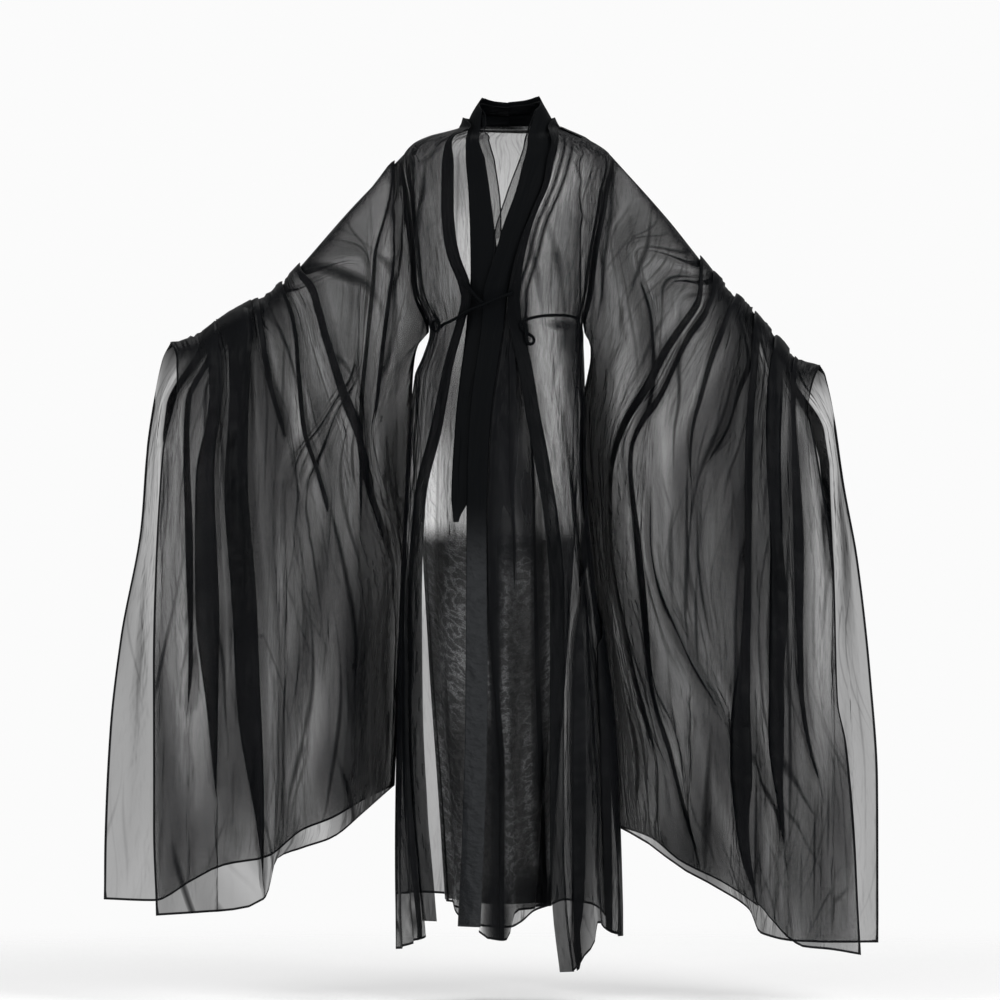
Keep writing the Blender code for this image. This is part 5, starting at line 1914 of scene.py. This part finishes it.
@dataclass
class Tie:
    """A tie of two twisted strands, lying where its solid does.

    thickness is measured across both strands, and round_thickness is that of an equal round cord. strand is
    a strand's radius and apart how far it lies from the middle, as shares of thickness.
    """

    node: str
    course: Table
    thickness: float = 0.0068
    round_thickness: float = 0.0048
    strand: float = 0.31
    apart: float = 0.19
    turn_length: float = 0.009
    step: float = 0.0012

    def points(self) -> Array:
        """Points along its course, in metres."""
        turn = OUTER.turn_at(self.course["drop"], self.course["across"])
        return OUTER.lifted(self.course["drop"], turn, self.course["lift"])

    def route(self, points: Array) -> Array:
        """The smooth line through the course's points, as the strands follow it.

        Args:
            points: Points along its course.

        Returns:
            Points on the line, ten to each stretch.
        """
        ends = np.concatenate([points[:1], points, points[-1:]])
        before, start, end, after = (ends[n : n + len(points) - 1, None] for n in range(4))
        t = np.arange(0, 1, 0.1)[None, :, None]
        square, cube = 2 * before - 5 * start + 4 * end - after, 3 * (start - end) - before + after
        line = start + 0.5 * ((end - before) * t + square * t**2 + cube * t**3)
        return np.concatenate([line.reshape(-1, 3), points[-1:]])

    def tree(self, material: bpy.types.Material) -> bpy.types.NodeTree:
        """Geometry nodes that lay two twisted strands along a path.

        Args:
            material: What the strands are made of.

        Returns:
            The tree, with a named input for each size.
        """
        tree = bpy.data.node_groups.new(self.node + "_strands", "GeometryNodeTree")
        maker = NodeMaker(tree)
        face = tree.interface
        face.new_socket("Path", in_out="INPUT", socket_type="NodeSocketGeometry")
        for name in ("Strand", "Apart", "Twist"):
            face.new_socket(name, in_out="INPUT", socket_type="NodeSocketFloat")
        face.new_socket("Strands", in_out="OUTPUT", socket_type="NodeSocketGeometry")
        given = tree.nodes.new("NodeGroupInput")
        path, strand, apart, twist = (Socket(maker, given.outputs[k]) for k in range(4))
        line = maker.make("GeometryNodeMeshToCurve", None, path)
        line = maker.make("GeometryNodeCurveSplineType", {"spline_type": "CATMULL_ROM"}, line)
        steps = {"Curve": line, "Length": self.step}
        line = maker.make("GeometryNodeResampleCurve", {"mode": "LENGTH"}, inputs=steps)
        run = maker.make("GeometryNodeSplineParameter", output="Length")
        tangent = maker.make("GeometryNodeInputTangent")
        side = maker.make("ShaderNodeVectorMath", {"operation": "CROSS_PRODUCT"}, tangent, (0.0, 1.0, 0.0))
        up = maker.make("ShaderNodeVectorMath", {"operation": "CROSS_PRODUCT"}, side, tangent)
        strands = maker.make("GeometryNodeJoinGeometry")
        for start in (0.0, math.pi):
            angle = run * twist + start
            reach = []
            for way, kind in ((side, "COSINE"), (up, "SINE")):
                shift = {"Scale": apart * angle.math(kind)}
                reach.append(maker.make("ShaderNodeVectorMath", {"operation": "SCALE"}, way, inputs=shift))
            offset = maker.make("ShaderNodeVectorMath", {"operation": "ADD"}, *reach)
            moved = maker.make("GeometryNodeSetPosition", inputs={"Geometry": line, "Offset": offset})
            round_sizes = {"Resolution": 8, "Radius": strand}
            ring = maker.make("GeometryNodeCurvePrimitiveCircle", {"mode": "RADIUS"}, inputs=round_sizes)
            ends = {"Curve": moved, "Profile Curve": ring, "Fill Caps": True}
            tube = maker.make("GeometryNodeCurveToMesh", inputs=ends)
            tree.links.new(tube.socket, strands.socket.node.inputs[0])
        real = maker.make("GeometryNodeRealizeInstances", None, strands)
        done = maker.make("GeometryNodeSetMaterial", inputs={"Geometry": real, "Material": material})
        tree.links.new(done.socket, tree.nodes.new("NodeGroupOutput").inputs[0])
        return tree

    def build(self, material: bpy.types.Material) -> bpy.types.Object:
        """Makes the tie.

        Args:
            material: Its material.

        Returns:
            The tie.
        """
        points = self.points()
        path = bpy.data.meshes.new(self.node + "_path")
        path.from_pydata(points.tolist(), [(n, n + 1) for n in range(len(points) - 1)], [])
        guide = add_object(self.node + "_path", path)
        twisted = guide.modifiers.new("strands", "NODES")
        twisted.node_group = self.tree(material)
        given = {
            "Strand": self.thickness * self.strand,
            "Apart": self.thickness * self.apart,
            "Twist": 2 * math.pi / self.turn_length,
        }
        for socket in twisted.node_group.interface.items_tree:
            if socket.name in given:
                twisted[socket.identifier] = given[socket.name]
        graph = bpy.context.evaluated_depsgraph_get()
        mesh = bpy.data.meshes.new_from_object(guide.evaluated_get(graph), depsgraph=graph)
        bpy.data.objects.remove(guide)
        mesh.shade_smooth()
        piece = add_object(self.node + "_cord", mesh)
        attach(piece, "root")
        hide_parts(self.node)
        route = self.route(points)
        return piece


ROLLED = 0.0045  # width of a rolled hem
FELLED = 0.007  # width of a side seam
ROBE_EDGES = Edges(FELLED, FELLED, FELLED, ROLLED)  # of a back
FRONT_EDGES = Edges(0.0, FELLED, FELLED, ROLLED)  # of a front, whose edge is under its band
BAND_WIDER = 0.003  # how much wider the outer neck bands lie open than they are sewn


@dataclass
class OuterRobe:
    """The open outer robe: back, fronts, wide sleeves and neck bands."""

    rows: int = 230
    gap: float = 0.0055

    def back(self) -> Panel:
        """The back, which hangs in soft folds.

        Returns:
            The back.
        """
        surface = BackPanel(OUTER, OUTER_BACK_HEM, SKIRT_FOLDS["outer_back"])
        weaving = Weaving(
            surface, self.rows, self.gap, edges=ROBE_EDGES, ripple=(0.004, 0.030, 0.6),
            gathers=Gathers(0.0, GATHERED["outer_back"]), seed=3,
        )
        return Panel("outer_back", ORGANZA, (0.52, 1.56), weaving=weaving)

    def front(self, side: Side) -> Panel:
        """A front, which hangs open from its neck band.

        Args:
            side: Which front.

        Returns:
            The front.
        """
        name = f"outer_front_{side.name.lower()}"
        right = side is Side.RIGHT
        edge, hem = (OUTER_RIGHT_EDGE, OUTER_RIGHT_HEM) if right else (OUTER_LEFT_EDGE, OUTER_LEFT_HEM)
        surface = FrontPanel(OUTER, hem, SKIRT_FOLDS[name], edge, side, 0.0)
        courses = FRONT_RIGHT_PLEATS if right else FRONT_LEFT_PLEATS
        weaving = Weaving(
            surface, self.rows, self.gap, tuple(Pleat(course, 0.005) for course in courses),
            CHEST_CREASES[side], FRONT_EDGES, ripple=(0.0045, 0.016, 0.30),
            gathers=Gathers(0.10, GATHERED[name], streams=(0.25, 0.014, 2.0)), seed=11 if right else 12,
        )
        flat = (0.15, 1.58) if right else (0.20, 1.62)
        return Panel(name, ORGANZA, flat, share=0.85, weaving=weaving)

    def sleeve(self, side: Side) -> Sleeve:
        """A wide sleeve, gathered on the forearm.

        Args:
            side: Which sleeve.

        Returns:
            The sleeve.
        """
        right = side is Side.RIGHT
        sizes, folds = (RIGHT_SLEEVE, RIGHT_SLEEVE_FOLDS) if right else (LEFT_SLEEVE, LEFT_SLEEVE_FOLDS)
        courses = (RIGHT_FRONT_PLEATS, RIGHT_BACK_PLEATS) if right else (LEFT_FRONT_PLEATS, LEFT_BACK_PLEATS)
        name = f"outer_sleeve_{side.name.lower()}"
        start, plain = (0.40, 0.64) if right else (0.37, 0.62)
        bunched = Gathers(
            0.28, GATHERED[name], streams=(1.0, 0.015, 0.30), humps=0.007, humps_from=start, banked=1.9,
            plain_beyond=plain,
        )
        front, back = (
            Weaving(
                SleeveLeaf(sizes, folds, leaf), rows=150, gap=0.0085,
                pleats=tuple(Pleat(course) for course in course_set), creases=SLEEVE_CREASES[side],
                edges=Edges(FELLED, ROLLED, 0.0, ROLLED), ripple=(0.0065, 0.024, 0.30), gathers=bunched,
                seed=20 + n + 2 * right, crowd=1.3,
            )
            for n, (leaf, course_set) in enumerate(zip((Leaf.FRONT, Leaf.BACK), courses))
        )
        return Sleeve(name, ORGANZA, (1.0, 2.7), "gathered", ("outer_back_cloth",), 0.6, front, back)

    def band(self, side: Side) -> Panel:
        """A neck band, sewn on along the front's edge.

        Args:
            side: Whose band.

        Returns:
            The band.
        """
        right = side is Side.RIGHT
        edge, hem = (OUTER_RIGHT_EDGE, OUTER_RIGHT_HEM) if right else (OUTER_LEFT_EDGE, OUTER_LEFT_HEM)
        end = float(hem["drop"][-1 if right else 0])
        surface = NeckBand(OUTER, OUTER_NECK, edge, side, 0.0, end, BAND_WIDER)
        weaving = Weaving(
            surface, rows=420, gap=0.0022, ripple=(0.0008, 0.01, 0.06),
            gathers=Gathers(1.6, GATHERED["outer_band"]), seed=31,
        )
        name = f"outer_band_{side.name.lower()}"
        under = ("outer_back_cloth",)
        return Panel(name, SOFT_BAND, (0.024, 1.75), rests_on=under, weaving=weaving, wall=BAND_WALL)


@dataclass
class InnerRobe:
    """The crossed inner robe: back, fronts, wide collars and their sheer strips."""

    rows: int = 220
    gap: float = 0.0055

    def back(self) -> Panel:
        """The back, of crinkled satin below the waist.

        Returns:
            The back.
        """
        surface = BackPanel(INNER, INNER_BACK_HEM, SKIRT_FOLDS["inner_back"])
        weaving = Weaving(
            surface, self.rows, self.gap, edges=ROBE_EDGES, ripple=(0.002, 0.02, 0.2), seed=41,
        )
        under = ("inner_front_left_cloth",)
        return Panel("inner_back", SATIN, (0.39, 1.50), rests_on=under, weaving=weaving)

    def front(self, side: Side) -> Panel:
        """A front, which crosses under its collar.

        Args:
            side: Which front.

        Returns:
            The front.
        """
        right = side is Side.RIGHT
        name = f"inner_front_{side.name.lower()}"
        edge, hem = (INNER_RIGHT_EDGE, INNER_RIGHT_HEM) if right else (INNER_LEFT_EDGE, INNER_LEFT_HEM)
        surface = FrontPanel(INNER, hem, SKIRT_FOLDS[name], edge, side, INNER_LIFTS[side])
        weaving = Weaving(
            surface, self.rows, self.gap,
            () if right else tuple(Pleat(course, 0.004) for course in INNER_LEFT_PLEATS),
            edges=FRONT_EDGES, ripple=(0.0012, 0.02, 0.3), gathers=Gathers(0.0, GATHERED[name]),
            seed=43 + right,
        )
        flat, share = ((0.13, 1.48), 0.75) if right else ((0.22, 1.54), 0.88)
        return Panel(name, INNER_ORGANZA, flat, share=share, weaving=weaving)

    def collar(self, side: Side) -> Panel:
        """A wide collar.

        Args:
            side: Which collar.

        Returns:
            The collar.
        """
        right = side is Side.RIGHT
        edge, length = (INNER_RIGHT_EDGE, 0.95) if right else (INNER_LEFT_EDGE, 1.7)
        surface = NeckBand(INNER, INNER_NECK, edge, side, INNER_LIFTS[side], COLLAR_ENDS[side])
        weaving = Weaving(surface, rows=360, gap=0.003, ripple=(0.0010, 0.012, 0.10), seed=51 + right)
        name = f"inner_collar_{side.name.lower()}"
        return Panel(name, BAND, (0.045, length), weaving=weaving, wall=BAND_WALL)

    def strip(self, side: Side) -> Panel:
        """The sheer strip that shows behind a collar.

        Args:
            side: Whose strip.

        Returns:
            The strip.
        """
        edge = INNER_RIGHT_EDGE if side is Side.RIGHT else INNER_LEFT_EDGE
        lift = INNER_LIFTS[side] - STRIP_BEHIND
        surface = NeckBand(INNER, INNER_NECK, edge, side, lift, STRIP_ENDS[side], is_strip=True)
        weaving = Weaving(
            surface, rows=200, gap=0.003, edges=Edges(0.0, ROLLED * 0.6), ripple=(0.0003, 0.012, 0.06),
            seed=61,
        )
        name = f"neck_strip_{side.name.lower()}"
        return Panel(name, ORGANZA, (0.02, 0.42), weaving=weaving)


@dataclass
class Studio:
    """Camera, floor and soft light."""

    stand_off: float = 14.0
    view_height: float = 1.9
    middle: tuple[float, float] = (-0.015, -0.703)
    floor_drop: float = 1.66
    light_given: float = 0.55
    light_seen: float = 0.965

    def camera(self) -> None:
        """A level camera in front of the robe."""
        lens = bpy.data.cameras.new("front_camera")
        lens.sensor_width = 36.0
        lens.lens = lens.sensor_width * self.stand_off / self.view_height
        lens.clip_end = 60.0
        camera = add_object("front_camera", lens)
        camera.location = (self.middle[0], -self.stand_off, self.middle[1])
        camera.rotation_euler = (math.pi / 2, 0, 0)
        bpy.context.scene.camera = camera

    def lights(self) -> None:
        """A big soft light on each side in front, and one above."""
        for name, place, power, size in (
            ("left_light", (3.2, -4.5, 1.6), 190.0, 2.6),
            ("right_light", (-3.6, -4.2, 0.9), 130.0, 2.6),
            ("top_light", (0.0, 1.5, 3.6), 90.0, 3.0),
        ):
            light = bpy.data.lights.new(name, "AREA")
            light.energy = power
            light.size = size
            lamp = add_object(name, light)
            lamp.location = place
            lamp.rotation_euler = (Vector((0, 0, -0.75)) - Vector(place)).to_track_quat("-Z", "Y").to_euler()

    def world(self) -> None:
        """A white surround that lights the cloth a little less than it shows."""
        world = bpy.data.worlds.new("white_studio")
        world.use_nodes = True
        maker = NodeMaker(world.node_tree)
        seen = maker.make("ShaderNodeLightPath", output="Is Camera Ray")
        strength = self.light_given + seen * (self.light_seen - self.light_given)
        white = {"Color": (1.0, 1.0, 1.0, 1.0), "Strength": strength}
        maker.show(maker.make("ShaderNodeBackground", inputs=white), "ShaderNodeOutputWorld")
        bpy.context.scene.world = world

    def floor(self) -> None:
        """A pale round floor that fades out at its rim."""
        bm = bmesh.new()
        bmesh.ops.create_circle(bm, cap_ends=True, segments=96, radius=3.0)
        mesh = bpy.data.meshes.new("studio_floor")
        bm.to_mesh(mesh)
        bm.free()
        mesh.transform(Matrix.Translation((0, 0, -self.floor_drop)))
        material = bpy.data.materials.new("pale_floor")
        material.use_nodes = True
        maker = NodeMaker(material.node_tree)
        place = maker.make("ShaderNodeTexCoord", output="Object")
        flat = maker.make("ShaderNodeVectorMath", {"operation": "MULTIPLY"}, place, (1.0, 1.0, 0.0))
        far = maker.make("ShaderNodeVectorMath", {"operation": "LENGTH"}, flat, output="Value")
        inputs = {
            "Base Color": (0.93, 0.93, 0.93, 1.0),
            "Roughness": 0.8,
            "Specular IOR Level": 0.0,
            "Alpha": far.between(1.0, 2.8, 1.0, 0.0),
        }
        maker.show(maker.make("ShaderNodeBsdfPrincipled", inputs=inputs))
        mesh.materials.append(material)
        add_object("studio_floor", mesh)

    def build(self) -> None:
        """Sets the whole studio."""
        self.camera()
        self.lights()
        self.world()
        self.floor()
        scene = bpy.context.scene
        scene.view_settings.view_transform = "Standard"
        scene.cycles.transparent_max_bounces = 64


def main() -> None:
    """Builds the robe piece by piece and sets it in the studio."""
    logging.basicConfig(level=logging.INFO, format="%(message)s")
    made = {finish: finish.material() for finish in (ORGANZA, INNER_ORGANZA, SATIN, BAND, SOFT_BAND)}
    outer, inner = OuterRobe(), InnerRobe()
    parts: list[Panel | Sleeve] = [outer.back(), inner.back()]
    for side in (Side.RIGHT, Side.LEFT):
        parts += [outer.front(side), outer.sleeve(side), outer.band(side)]
        parts += [inner.front(side), inner.collar(side), inner.strip(side)]
    for part in parts:
        part.build(made[part.finish])
    for node, course in TIES.items():
        Tie(node, course).build(made[BAND])
    Studio().build()


if __name__ == "__main__":
    main()
